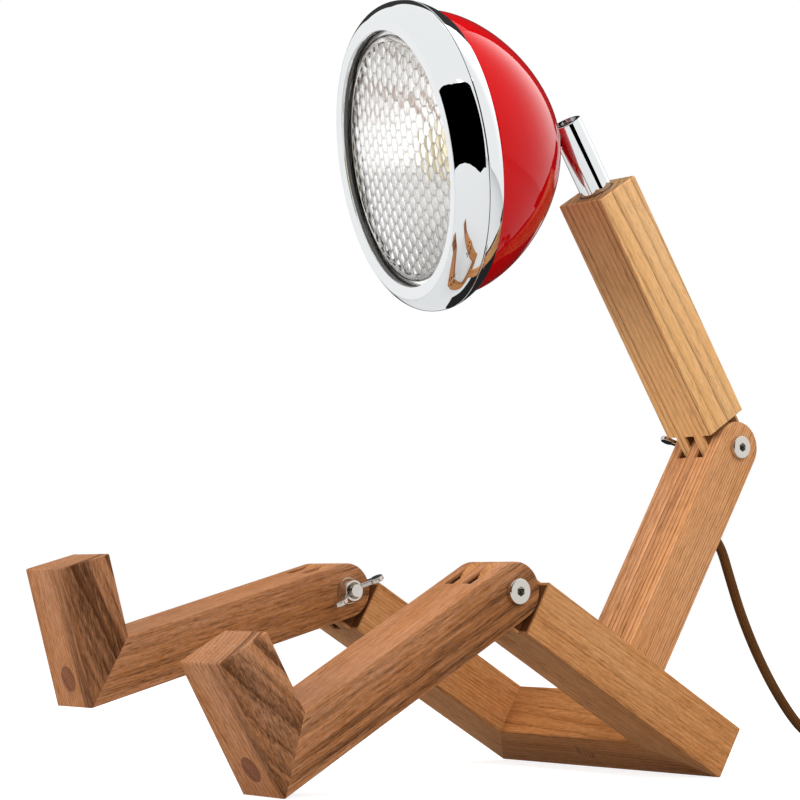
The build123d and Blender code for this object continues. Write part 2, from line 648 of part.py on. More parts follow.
# ---- Cord ----


def cord_grommet() -> Part:
    """The grommet in the back of the lower torso: a sleeve and a thin flange on the face."""
    grommet = Cylinder(GROMMET_SLEEVE_R, GROMMET_DEPTH, align=(Align.CENTER, Align.CENTER, Align.MAX))
    grommet += Cylinder(GROMMET_R, GROMMET_T, align=(Align.CENTER, Align.CENTER, Align.MIN))
    return cord_hole() * grommet


CORD_Z = CORD_D / 2 + TIE_T  # centre of a cord that lies on the table beside its coil
CORD_DROP = [  # in the plane of symmetry, as (y, z), from past the grommet down to the switch
    (71.4, 113.3), (76.7, 107.2), (81.6, 94.6), (90.4, 73.0),
    (103.4, 50.0), (118.0, 30.0), (133.0, 14.6), (148.0, 8.0)
]
LEAD_BENDS = [  # from the switch to the coil, as (x, y, z)
    (0, 242.0, 8.0), (3.6, 253.0, 5.2), (7.4, 264.0, 3.3)
]
TAIL_BENDS = [(84.3, 257.0, 8.3), (80.0, 243.5, 7.5)]  # from the coil to the plug, as (x, y, z)


def coil_side(sign: int) -> Vector:
    """The point of the coil's outer turn furthest to one side, at the level of that end."""
    outer = COIL_R + COIL_PITCH * COIL_TURNS / COIL_LAYERS / 2
    return Vector(COIL_X + sign * outer, COIL_Y, CORD_Z + (COIL_LAYERS - 1) * CORD_D * (sign > 0))


def cord_routes() -> dict[str, list[Vector]]:
    """The points of each stretch of cord that isn't coiled."""
    exit_at = (cord_hole() * Pos(0, 0, GROMMET_T)).position
    inlet = Vector(0, SWITCH_Y - SWITCH_NOZZLE_L, SWITCH_AXIS_Z)
    outlet = Vector(0, SWITCH_Y + SWITCH_L + SWITCH_NOZZLE_L, SWITCH_AXIS_Z)
    return {
        "mains_cord": [exit_at] + [Vector(0, y, z) for y, z in CORD_DROP] + [inlet],
        "switch_lead": [outlet] + [Vector(*point) for point in LEAD_BENDS] + [coil_side(-1)],
        "plug_lead": [coil_side(1)] + [Vector(*point) for point in TAIL_BENDS]
        + [Vector(PLUG_X, PLUG_Y + PLUG_NOZZLE_L, PLUG_H / 2)],
    }


def cord_tube(name: str, points: list[Vector]) -> Part:
    """A tube along straight runs joined by arcs as large as the runs allow."""
    radii = []
    for before, at, after in zip(points, points[1:], points[2:]):
        half_turn = math.radians((at - before).get_angle(after - at)) / 2
        shorter = min((at - before).length, (after - at).length)
        radii.append(BEND_SHARE * shorter / math.tan(half_turn))
    path = FilletPolyline(*points, radius=radii)
    tube = sweep(Plane(path @ 0, z_dir=path % 0) * Circle(CORD_D / 2), path)
    expected = math.pi * CORD_D**2 / 4 * path.length
    print(f"{name}: length {path.length:.1f}, radii {[round(radius) for radius in radii]}", end=" ")
    print(f"volume {tube.volume:.0f} of {expected:.0f}")
    return tube


def cord_coil() -> Part:
    """The outer shape of the put-away turns: a flat ring."""
    half = COIL_PITCH * COIL_TURNS / COIL_LAYERS / 2 + CORD_D / 2
    height = COIL_LAYERS * CORD_D
    ring = Cylinder(COIL_R + half, height, align=(Align.CENTER, Align.CENTER, Align.MIN))
    ring -= Cylinder(COIL_R - half, height, align=(Align.CENTER, Align.CENTER, Align.MIN))
    ring = fillet(ring.edges(), CORD_D / 3)
    return Pos(COIL_X, COIL_Y, TIE_T) * ring


def cord_tie() -> Part:
    """The strap round the coil's turns, on the side away from the lamp."""
    radial = COIL_PITCH * COIL_TURNS / COIL_LAYERS + CORD_D
    height = COIL_LAYERS * CORD_D
    loop = Rectangle(radial + 2 * TIE_T, height + 2 * TIE_T) - Rectangle(radial, height)
    arc = math.degrees(TIE_W / COIL_R)
    strap = revolve(Plane.XZ * Pos(COIL_R, TIE_T + height / 2) * loop, Axis.Z, revolution_arc=arc)
    return Pos(COIL_X, COIL_Y, 0) * Rot(Z=90 - arc / 2) * strap


def switch_place() -> Location:
    """Centre of the in-line switch on the table."""
    return Pos(0, SWITCH_Y + SWITCH_L / 2, 0)


def switch_half(low: float, high: float) -> Part:
    """A slice of the switch's rounded housing."""
    plan = RectangleRounded(SWITCH_W, SWITCH_L, SWITCH_CORNER)
    return Pos(0, 0, low) * extrude(plan, high - low)


def switch_base() -> Part:
    """The lower half of the switch, with a cord nozzle at each end."""
    base = switch_half(0, SWITCH_H / 2)
    nozzle = Cone(
        SWITCH_NOZZLE_R + EDGE, SWITCH_NOZZLE_R, SWITCH_NOZZLE_L, align=(Align.CENTER, Align.CENTER, Align.MIN)
    )
    for turn in (-90, 90):
        base += Pos(0, -math.copysign(SWITCH_L / 2, turn), SWITCH_AXIS_Z) * Rot(X=turn) * nozzle
    upper = Box(SWITCH_W, SWITCH_L, SWITCH_H, align=(Align.CENTER, Align.CENTER, Align.MIN))
    return switch_place() * (base - Pos(0, 0, SWITCH_H / 2) * upper)


def rocker_pin(extra: float) -> Part:
    """The rocker's cross pin, or with some extra radius its hole."""
    return rod(ROCKER_PIN_R + extra, ROCKER_W + 2 * ROCKER_PIN_GRIP)


def rocker_axis_z() -> float:
    """Height of the rocker's cross pin."""
    return SWITCH_H - ROCKER_DROP / 2


def switch_cover() -> Part:
    """The upper half of the switch, with the rocker's pocket."""
    cover = switch_half(SWITCH_H / 2 + SEAT_PLAY, SWITCH_H)
    cover = fillet(cover.faces().sort_by(Axis.Z)[-1].edges(), SWITCH_TOP_EDGE)
    pocket = Box(
        ROCKER_W + 2 * ROCKER_PLAY, ROCKER_L + 2 * ROCKER_PLAY, ROCKER_DROP,
        align=(Align.CENTER, Align.CENTER, Align.MAX)
    )
    cover -= Pos(0, 0, SWITCH_H) * pocket
    return switch_place() * (cover - Pos(0, 0, rocker_axis_z()) * rocker_pin(RUN_FIT))


def switch_rocker() -> Part:
    """The rocker: two faces that meet over its pin in a shallow V, one end pressed."""
    half, drop = ROCKER_L / 2, ROCKER_L / 2 * math.tan(math.radians(ROCKER_ANGLE))
    top = ROCKER_DROP / 2 + drop / 3
    side = Polygon(
        (-half + ROCKER_PLAY, top), (0, top - drop), (half - ROCKER_PLAY, top),
        (half - ROCKER_PLAY, drop / 2), (0, -ROCKER_PIN_R - drop / 2), (-half + ROCKER_PLAY, drop / 2),
        align=None
    )
    rocker = extrude(Plane.YZ * side, ROCKER_W / 2, both=True) + rocker_pin(0)
    return switch_place() * Pos(0, 0, rocker_axis_z()) * Rot(X=ROCKER_ANGLE) * rocker


def plug_place() -> Location:
    """Back of the plug's nozzle, with the pins pointing along -Y."""
    return Pos(PLUG_X, PLUG_Y + PLUG_NOZZLE_L, PLUG_H / 2) * Rot(X=90)


def plug_body() -> Part:
    """The flat two-pin plug: a waisted body that tapers into the cord nozzle."""
    face = RectangleRounded(PLUG_W, PLUG_H, PLUG_H / 3)
    waist = RectangleRounded(PLUG_WAIST_W, PLUG_H, PLUG_H / 3)
    body = loft([waist, Pos(0, 0, PLUG_BODY_L) * face])
    wide_r = PLUG_H / 2 - EDGE
    nozzle = Cone(PLUG_NOZZLE_R, wide_r, PLUG_NOZZLE_L, align=(Align.CENTER, Align.CENTER, Align.MIN))
    return plug_place() * (Pos(0, 0, PLUG_NOZZLE_L) * body + nozzle)


def plug_pins() -> Part:
    """The two round pins, with rounded tips."""
    pin = Cylinder(PLUG_PIN_R, PLUG_PIN_L, align=(Align.CENTER, Align.CENTER, Align.MIN))
    pin = fillet(pin.edges().sort_by(Axis.Z)[-1], PLUG_PIN_R / 2)
    front = PLUG_NOZZLE_L + PLUG_BODY_L
    pins = [Pos(side * PLUG_PIN_SPACING / 2, 0, front) * pin for side in (-1, 1)]
    return plug_place() * (Part() + pins)


# ---- The whole lamp ----

CORD_NODES = (
    "cord_grommet", "mains_cord", "switch_lead", "plug_lead", "cord_coil", "cord_tie",
    "switch_base", "switch_cover", "switch_rocker", "plug_body", "plug_pins",
)


def pieces() -> dict[str, Part]:
    """Every node by name, with the hips' back edge at the origin."""
    made = {
        "pelvis_bar": pelvis_bar(), "torso_dowel": torso_dowel(),
        "lower_torso": lower_torso(), "upper_torso": upper_torso(),
        "neck_bush": neck_bush(), "neck_grub_screw": neck_grub_screw(), "neck_tube": neck_tube(),
        "tilt_pin": tilt_pin(), "head_stud": head_stud(), "stud_nut": stud_nut(),
        "head_shell": head_shell(), "clamp_band": clamp_band(), "trim_ring": trim_ring(),
        "lens_gasket": lens_gasket(), "lens": lens(), "reflector": reflector(),
        "retaining_ring": retaining_ring(), "lamp_holder": lamp_holder(), "bulb": bulb(),
        "cord_grommet": cord_grommet(), "cord_coil": cord_coil(), "cord_tie": cord_tie(),
        "switch_base": switch_base(), "switch_cover": switch_cover(), "switch_rocker": switch_rocker(),
        "plug_body": plug_body(), "plug_pins": plug_pins(),
    }
    for side, sign in SIDES.items():
        made |= {
            f"thigh_{side}": thigh(side), f"shin_{side}": shin(side),
            f"foot_{side}": foot(side), f"foot_dowel_{side}": foot_dowel(side),
        }
        knee = set_at(KNEES[side], sign, NUT_ANGLE[side])
        made |= {f"knee_{kind}_{side}": part for kind, part in knee.items()}
    waist = set_at(WAIST, 1, NUT_ANGLE["waist"])
    made |= {f"waist_{kind}": part for kind, part in waist.items()}
    made |= {name: cord_tube(name, points) for name, points in cord_routes().items()}
    return made


def ground_centre(parts: dict[str, Part]) -> Location:
    """Moves the lamp so that the origin is under the middle of its box, without the cord."""
    box = Compound([part for name, part in parts.items() if name not in CORD_NODES]).bounding_box()
    return Pos(-box.center().X, -box.center().Y, -box.min.Z)


def main() -> None:
    """Builds and writes every node."""
    parts = pieces()
    shift = ground_centre(parts)
    os.makedirs("parts", exist_ok=True)
    for name, part in parts.items():
        export_step(shift * part, f"parts/{name}.step")


if __name__ == "__main__":
    main()
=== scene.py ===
"""Looks of a table lamp shaped like a seated wooden figure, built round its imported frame.

Lengths inside the classes are millimetres; meshes and lights are in metres, in the frame's own axes:
+Z up, -Y the way the figure faces, +X its left side.
"""

import json
import logging
import math
from dataclasses import dataclass
from enum import Enum

import bmesh
import bpy
import numpy as np
from mathutils import Matrix, Vector


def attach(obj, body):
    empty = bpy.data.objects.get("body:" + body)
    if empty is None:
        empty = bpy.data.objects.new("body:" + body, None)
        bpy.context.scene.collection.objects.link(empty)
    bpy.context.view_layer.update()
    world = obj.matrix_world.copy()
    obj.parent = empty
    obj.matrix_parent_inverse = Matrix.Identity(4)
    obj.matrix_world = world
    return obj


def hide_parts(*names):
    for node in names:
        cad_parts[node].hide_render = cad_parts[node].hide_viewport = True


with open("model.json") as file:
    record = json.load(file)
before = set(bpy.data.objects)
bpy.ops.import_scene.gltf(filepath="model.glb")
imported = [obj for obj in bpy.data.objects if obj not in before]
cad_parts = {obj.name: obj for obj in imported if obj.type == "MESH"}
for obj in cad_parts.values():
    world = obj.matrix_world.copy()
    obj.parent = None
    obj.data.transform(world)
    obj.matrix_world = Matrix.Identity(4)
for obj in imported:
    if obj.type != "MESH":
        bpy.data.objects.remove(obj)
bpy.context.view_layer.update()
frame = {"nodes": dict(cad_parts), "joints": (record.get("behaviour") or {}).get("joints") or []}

logging.basicConfig(level=logging.INFO, format="%(message)s")
log = logging.getLogger("lamp")

Array = np.ndarray
Color = tuple[float, float, float, float]
Pair = tuple[float, float]
Point = tuple[float, float, float]
Piece = bpy.types.Object
Socket = bpy.types.NodeSocket

MM = 0.001
WHITE = (1.0, 1.0, 1.0, 1.0)
BAR_WIDTH, BAR_DEPTH = 32.0, 26.0


# ---- Vectors, colours and places ----


def unit(vector: Array) -> Array:
    """A vector divided by its length."""
    return vector / np.linalg.norm(vector)


def srgb(red: int, green: int, blue: int) -> Color:
    """A screen colour from 0 to 255 as linear light: c/12.92 below 0.04, else ((c+0.055)/1.055)^2.4."""
    parts = np.array((red, green, blue)) / 255
    linear = np.where(parts <= 0.04045, parts / 12.92, ((parts + 0.055) / 1.055) ** 2.4)
    return (*linear.tolist(), 1.0)


def shaded(color: Color, factor: float, lift: float = 0.0) -> Color:
    """A colour made darker or lighter: factor times c plus lift, at most 1."""
    return (*(min(1.0, factor * c + lift) for c in color[:3]), 1.0)


@dataclass(frozen=True)
class Place:
    """A right-handed set of axes at a point, all in metres."""

    origin: Array
    x: Array
    y: Array
    z: Array

    @staticmethod
    def along(origin: Array, z: Array, x: Array) -> "Place":
        """Axes at a point from a Z direction and the nearest X direction square to it."""
        z = unit(z)
        x = unit(x - (x @ z) * z)
        return Place(np.array(origin, float), x, np.cross(z, x), z)

    def axes(self) -> Array:
        """The three axes, as the rows of a matrix."""
        return np.stack((self.x, self.y, self.z))

    def points(self, local: Array) -> Array:
        """Millimetre points on these axes as metre points in the frame."""
        return self.origin + MM * (local @ self.axes())

    def moved(self, x: float = 0, y: float = 0, z: float = 0) -> "Place":
        """The same axes at another point, given in millimetres on them."""
        return Place(self.points(np.array((x, y, z), float)), self.x, self.y, self.z)

    def tilted(self, degrees: float) -> "Place":
        """The axes turned about their own X, by the right hand rule."""
        c, s = math.cos(math.radians(degrees)), math.sin(math.radians(degrees))
        return Place(self.origin, self.x, c * self.y + s * self.z, c * self.z - s * self.y)


def joint(name: str) -> dict:
    """A joint of the frame's record."""
    return next(j for j in frame["joints"] if j["name"] == name)


def level_at(name: str) -> Place:
    """Level axes at a joint."""
    return Place(np.array(joint(name)["pos_m"], float), *np.eye(3))


@dataclass(frozen=True)
class Posture:
    """The figure's angles, in degrees, and the places that follow from them and from the joints."""

    hip_rise: float = 30.2
    shin_drop_left: float = 30.2
    shin_drop_right: float = 15.93
    torso_lean: float = 32.8
    head_raise: float = 20.7
    waist_behind_hips: float = 73.4456  # waist bolt from the hips' back edge, along +Y
    waist_up: float = 158.0

    def back_edge(self) -> Place:
        """Level axes on the table at the hips' back edge."""
        return level_at("waist").moved(y=-self.waist_behind_hips, z=-self.waist_up)

    def hips(self) -> Place:
        """Hip frame: -Y along the thighs, Z square to them."""
        return self.back_edge().tilted(-self.hip_rise)

    def lower_torso(self) -> Place:
        """Waist bolt, with Z up the lower torso."""
        return level_at("waist").tilted(-self.hip_rise)

    def upper_torso(self) -> Place:
        """Waist bolt, with Z up the upper torso."""
        return level_at("waist").tilted(self.torso_lean)

    def leg(self, side: str) -> Place:
        """Knee bolt, with -Y down the shin and Z up square to it."""
        return level_at(f"knee_{side}").tilted(self.shin_drop_left if side == "left" else self.shin_drop_right)

    def head(self) -> Place:
        """Tilt pin, with Z out of the lamp and X along the pin."""
        pin = np.array(joint("head_tilt")["axis"], float)
        up = np.array(joint("neck_swivel")["axis"], float)
        return Place.along(level_at("head_tilt").origin, up, pin).tilted(-self.head_raise).tilted(90)


POSTURE = Posture()


# ---- Meshes ----


def add_object(name: str, data: bpy.types.ID) -> Piece:
    """Puts a mesh, light or camera into the scene as an object."""
    made = bpy.data.objects.new(name, data)
    bpy.context.scene.collection.objects.link(made)
    return made


def mesh_piece(name: str, points: Array, faces: list, body: str, smooth_below: float) -> Piece:
    """Puts a surface into the scene as a piece of the lamp.

    Args:
        name: the piece's name.
        points: (n, 3) array, in metres.
        faces: index lists, pointing outwards.
        body: the body that it rides on.
        smooth_below: edges that turn by more degrees than this stay sharp.

    Returns:
        The new object.
    """
    mesh = bpy.data.meshes.new(name)
    mesh.from_pydata(points.tolist(), [], faces)
    mesh.validate()
    mesh.shade_smooth()
    mesh.set_sharp_from_angle(angle=math.radians(smooth_below))
    piece = add_object(name, mesh)
    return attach(piece, body)


def grid_faces(rows: int, columns: int, wrap_rows: bool, wrap_columns: bool) -> Array:
    """Quads of a grid whose points are counted row by row; a wrapped side joins its last line to its first."""
    i = np.arange(rows if wrap_rows else rows - 1)[:, None]
    j = np.arange(columns if wrap_columns else columns - 1)[None, :]
    i2, j2 = (i + 1) % rows, (j + 1) % columns
    return np.stack([i * columns + j, i * columns + j2, i2 * columns + j2, i2 * columns + j], -1).reshape(-1, 4)


def weld(piece: Piece, distance: float = 1e-6) -> None:
    """Merges points that coincide, such as a pole's."""
    work = bmesh.new()
    work.from_mesh(piece.data)
    bmesh.ops.remove_doubles(work, verts=work.verts, dist=distance)
    bmesh.ops.dissolve_degenerate(work, dist=distance, edges=work.edges)
    work.to_mesh(piece.data)
    work.free()


def arc(start: Pair, end: Pair, bulge: float, steps: int) -> Array:
    """Points of a shallow arc: the chord plus 4 b s (1 - s) along its right-hand normal."""
    start, end = np.array(start), np.array(end)
    s = np.linspace(0, 1, steps)[:, None]
    chord = end - start
    side = np.array((chord[1], -chord[0])) / np.linalg.norm(chord)
    return start + s * chord + 4 * bulge * s * (1 - s) * side


def rounded(profile: Array, corners: dict[int, float], steps: int = 5) -> Array:
    """A closed profile with some corners rounded: each becomes a quadratic curve between points set back from it."""
    points = []
    for i, p in enumerate(profile):
        if i not in corners:
            points.append(p)
            continue
        before, after = profile[i - 1], profile[(i + 1) % len(profile)]
        a, b = p + corners[i] * unit(before - p), p + corners[i] * unit(after - p)
        points += [(1 - t) ** 2 * a + 2 * t * (1 - t) * p + t**2 * b for t in np.linspace(0, 1, steps)]
    return np.array(points)


# ---- Node graphs ----


class Graph:
    """A node tree that is built one node at a time."""

    def __init__(self, holder: bpy.types.NodeTree | bpy.types.Material | bpy.types.World) -> None:
        """Empties the tree, or the tree of a material or world."""
        if not isinstance(holder, bpy.types.NodeTree):
            holder.use_nodes = True
            holder = holder.node_tree
        self.tree = holder
        self.tree.nodes.clear()

    def fill(self, target: Socket, value: object) -> None:
        """Links a socket to an input, or sets a value on it; None leaves it alone."""
        if isinstance(value, Socket):
            self.tree.links.new(value, target)
        elif value is not None:
            target.default_value = value

    def node(self, kind: str, *values: object, out: int | str = 0, **settings: object) -> Socket:
        """Adds a node.

        Args:
            kind: the node's type, without its prefix.
            values: numbers, colours or sockets for its inputs in order; None leaves one alone.
            out: the output to return.
            settings: the node's own properties.

        Returns:
            One of its output sockets.
        """
        made = self.tree.nodes.new(f"ShaderNode{kind}")
        for key, value in settings.items():
            setattr(made, key, value)
        for target, value in zip(made.inputs, values):
            self.fill(target, value)
        return made.outputs[out]

    def show(self, kind: str, shader: Socket) -> None:
        """Links a shader to the output of a Material or World."""
        self.fill(self.tree.nodes.new(f"ShaderNodeOutput{kind}").inputs[0], shader)

    def math(self, operation: str, *values: float | Socket, clamp: bool = False) -> Socket:
        """A Math node."""
        return self.node("Math", *values, operation=operation, use_clamp=clamp)

    def times(self, a: float | Socket, b: float | Socket, *plus: float | Socket, clamp: bool = False) -> Socket:
        """The product of two numbers, or the product plus a third."""
        return self.math("MULTIPLY_ADD" if plus else "MULTIPLY", a, b, *plus, clamp=clamp)

    def vector(self, operation: str, *values: object, out: int | str = 0) -> Socket:
        """A Vector Math node."""
        return self.node("VectorMath", *values, operation=operation, out=out)

    def mix(self, factor: float | Socket, a: object, b: object, blend: str = "MIX") -> Socket:
        """A colour Mix node: its inputs 0, 6 and 7 and its output 2 are the ones for colours."""
        made = self.tree.nodes.new("ShaderNodeMix")
        made.data_type, made.blend_type = "RGBA", blend
        for slot, value in ((0, factor), (6, a), (7, b)):
            self.fill(made.inputs[slot], value)
        return made.outputs[2]

    def blend(self, a: Socket, b: Socket, share: float) -> Socket:
        """Two numbers in one: (1 - share) a + share b."""
        return self.times(b, share, self.times(a, 1 - share))

    def ramp(self, factor: Socket, *stops: Pair) -> Socket:
        """A grey Color Ramp through (position, brightness) stops."""
        value = self.node("ValToRGB", factor)
        bar = value.node.color_ramp
        while len(bar.elements) < len(stops):
            bar.elements.new(0.5)
        for element, (position, level) in zip(bar.elements, stops):
            element.position, element.color = position, (level, level, level, 1)
        return value

    def noise(self, vector: Socket, scale: float, detail: float = 2, rough: float = 0.5) -> Socket:
        """A Noise Texture's value."""
        return self.node("TexNoise", vector, None, scale, detail, rough)

    def group(self, name: str, **values: object) -> bpy.types.bpy_prop_collection:
        """Places a shared group and returns its outputs; spaces in its inputs' names are written as underscores."""
        made = self.tree.nodes.new("ShaderNodeGroup")
        made.node_tree = bpy.data.node_groups[name]
        for key, value in values.items():
            self.fill(made.inputs[key.replace("_", " ")], value)
        return made.outputs


class Material(Graph):
    """A material with one Principled shader."""

    def __init__(self, name: str) -> None:
        """Makes the material, its shader and its output."""
        self.material = bpy.data.materials.new(f"{name}_finish")
        super().__init__(self.material)
        self.shader = self.tree.nodes.new("ShaderNodeBsdfPrincipled")
        self.show("Material", self.shader.outputs[0])

    def set(self, **values: object) -> None:
        """Sets or links the shader's inputs; spaces in their names are written as underscores."""
        for key, value in values.items():
            self.fill(self.shader.inputs[key.replace("_", " ")], value)

    def object_mm(self) -> Socket:
        """Object coordinates, in millimetres."""
        return self.vector("SCALE", self.node("TexCoord", out="Object"), None, None, 1 / MM)

    def on_axes(self, place: Place) -> Socket:
        """Object coordinates on a place's own axes, in millimetres."""
        turn = Matrix(place.axes().tolist()).transposed().to_euler()
        return self.node("Mapping", self.node("TexCoord", out="Object"), tuple(place.origin), tuple(turn),
                         (MM, MM, MM), vector_type="TEXTURE")

    def handled(self, where: Socket, scale: float, spread: float, base: float) -> Socket:
        """A roughness that hands and cloth have raised here and there, by the spread at most."""
        share = self.group("handling", Position=where, Scale=scale)["Share"]
        return self.times(share, spread, base)

    def bump(self, height: Socket, depth: float) -> None:
        """Sends a height through a Bump node to the shader; the depth is in millimetres."""
        self.set(Normal=self.node("Bump", 1.0, depth * MM, None, height))


def shared_group(name: str, **sockets: dict[str, str]) -> tuple[Graph, dict[str, Socket], dict[str, Socket]]:
    """Starts a shader node group.

    Args:
        name: the group's name.
        sockets: for INPUT and OUTPUT, each socket's name and kind: Float, Color or Vector.

    Returns:
        The graph, the sockets that give its inputs, and the sockets that take its outputs.
    """
    tree = bpy.data.node_groups.new(name, "ShaderNodeTree")
    graph = Graph(tree)
    for side, kinds in sockets.items():
        for key, kind in kinds.items():
            tree.interface.new_socket(name=key, in_out=side, socket_type=f"NodeSocket{kind}")
    given, taken = tree.nodes.new("NodeGroupInput").outputs, tree.nodes.new("NodeGroupOutput").inputs
    return graph, {socket.name: socket for socket in given}, {socket.name: socket for socket in taken}


# What the timber's material takes from a bar's own timber, with the kind of each.
TIMBER_VALUES = {
    "Ring Width": "Float", "Wander": "Float", "Pith": "Float", "Clear": "Float", "Pale": "Color", "Warm": "Color",
    "Dark": "Color", "Pore": "Color", "Band": "Float", "Streak": "Float", "Fibre": "Float", "Pores": "Float",
}
# Noises of the timber: scale across it, scale along it, detail, roughness.
GRAIN = {
    "slow wander": (0.03, 0.009, 2, 0.5),
    "quick wander": (0.12, 0.03, 2, 0.5),
    "thick fibres": (1.5, 0.035, 4, 0.75),
    "fine fibres": (3.6, 0.09, 3, 0.6),
    "fleck": (0.9, 0.3, 3, 0.65),
    "pores": (1.9, 0.14, 2, 0.5),
    "tone": (0.045, 0.012, 2, 0.5),
}
# (position, level) stops that turn a noise, or the way through a ring, into a mask.
STOPS = {
    "ring": ((0.0, 0.05), (0.08, 1.0), (0.26, 0.35), (0.6, 0.04)),
    "streak": ((0.44, 0.0), (0.62, 1.0)),
    "fibre": ((0.43, 0.0), (0.57, 1.0)),
    "fleck": ((0.35, 0.0), (0.68, 1.0)),
    "pores": ((0.54, 0.0), (0.6, 1.0)),
    "tone": ((0.35, 0.0), (0.85, 1.0)),
    "handling": ((0.35, 0.0), (0.7, 1.0)),
}


def make_timber_group() -> None:
    """Ring-porous timber round a pith at the origin, its length along Z, in millimetres.

    The distance from Z, plus a slow and a quick wander, is divided by the ring width and counts the rings.
    In each ring a dark band starts at once and fades; short pores along Z crowd in that band. Core is how far
    a point lies from the bar's middle, square to the rings: broad dark streaks follow the rings near it and
    leave out the outermost wood. Long thin noise gives the fibres, and short noise the fleck.
    """
    graph, given, taken = shared_group(
        "timber", INPUT={"Position": "Vector", **TIMBER_VALUES},
        OUTPUT={"Color": "Color", "Height": "Float", "Rough": "Float"})
    position = given["Position"]

    def grain(kind: str) -> Socket:
        """One of the timber's noises."""
        across, along, detail, rough = GRAIN[kind]
        return graph.noise(graph.vector("MULTIPLY", position, (across, across, along)), 1.0, detail, rough)

    def wander(kind: str, reach: Socket) -> Socket:
        """A noise as a length, from minus half the reach to plus half of it."""
        return graph.times(graph.math("SUBTRACT", grain(kind), 0.5), reach)

    from_pith = graph.vector("LENGTH", graph.vector("MULTIPLY", position, (1, 1, 0)), out=1)
    radius = graph.math("ADD", from_pith, wander("slow wander", given["Wander"]))
    quick = wander("quick wander", given["Ring Width"])
    rings = graph.math("DIVIDE", graph.times(quick, 0.35, radius), given["Ring Width"])
    band = graph.ramp(graph.math("FRACT", rings), *STOPS["ring"])
    strength = graph.node("TexWhiteNoise", None, graph.math("FLOOR", rings), noise_dimensions="1D")
    band = graph.times(band, graph.times(strength, 0.75, 0.35))  # from 0.35 to 1.1 as dark, ring by ring

    # The streaks' noise runs with the distance from the pith, and changes slowly along the rings.
    follow = graph.node("CombineXYZ", graph.times(radius, 0.2), 0.0, 0.0)
    follow = graph.vector("ADD", follow, graph.vector("MULTIPLY", position, (0.012, 0.012, 0.005)))
    streak = graph.ramp(graph.noise(follow, 1.0, 4, 0.62), *STOPS["streak"])
    core = graph.math("ABSOLUTE", graph.math("SUBTRACT", radius, given["Pith"]))
    inside = graph.times(graph.math("SUBTRACT", given["Clear"], core), 0.3, clamp=True)
    streak = graph.times(streak, inside)

    # Some pores are everywhere, all of them where a ring or a streak is dark.
    fibre = graph.ramp(graph.blend(grain("thick fibres"), grain("fine fibres"), 0.45), *STOPS["fibre"])
    fleck = graph.ramp(grain("fleck"), *STOPS["fleck"])
    crowd = graph.math("MAXIMUM", band, graph.times(streak, 0.7))
    crowd = graph.times(crowd, 0.72, 0.28, clamp=True)
    pores = graph.times(graph.ramp(grain("pores"), *STOPS["pores"]), crowd)

    # Pale wood turns warm by patches, then dark by rings, streaks and fibres, and the pores lie over it.
    dark = graph.times(streak, given["Streak"], graph.times(band, given["Band"]))
    dark = graph.times(fibre, given["Fibre"], dark, clamp=True)
    tone = graph.times(grain("tone"), 0.9, graph.times(fleck, 0.35))
    color = graph.mix(dark, graph.mix(graph.ramp(tone, *STOPS["tone"]), given["Pale"], given["Warm"]), given["Dark"])
    color = graph.mix(graph.times(pores, given["Pores"], clamp=True), color, given["Pore"])
    graph.fill(taken["Color"], color)
    graph.fill(taken["Height"], graph.times(fibre, -0.3, graph.times(pores, -1.0)))
    graph.fill(taken["Rough"], graph.times(pores, 0.25, graph.times(fibre, 0.1)))


def make_handling_group() -> None:
    """Faint uneven gloss from hands and cloth: slow noise plus fine noise, as a share from 0 to 1."""
    graph, given, taken = shared_group(
        "handling", INPUT={"Position": "Vector", "Scale": "Float"}, OUTPUT={"Share": "Float"})
    position = graph.vector("SCALE", given["Position"], None, None, given["Scale"])
    slow, fine = graph.noise(position, 1.0, 3, 0.6), graph.noise(position, 14.0, 2, 0.5)
    graph.fill(taken["Share"], graph.ramp(graph.blend(slow, fine, 0.35), *STOPS["handling"]))


# ---- Finishes ----


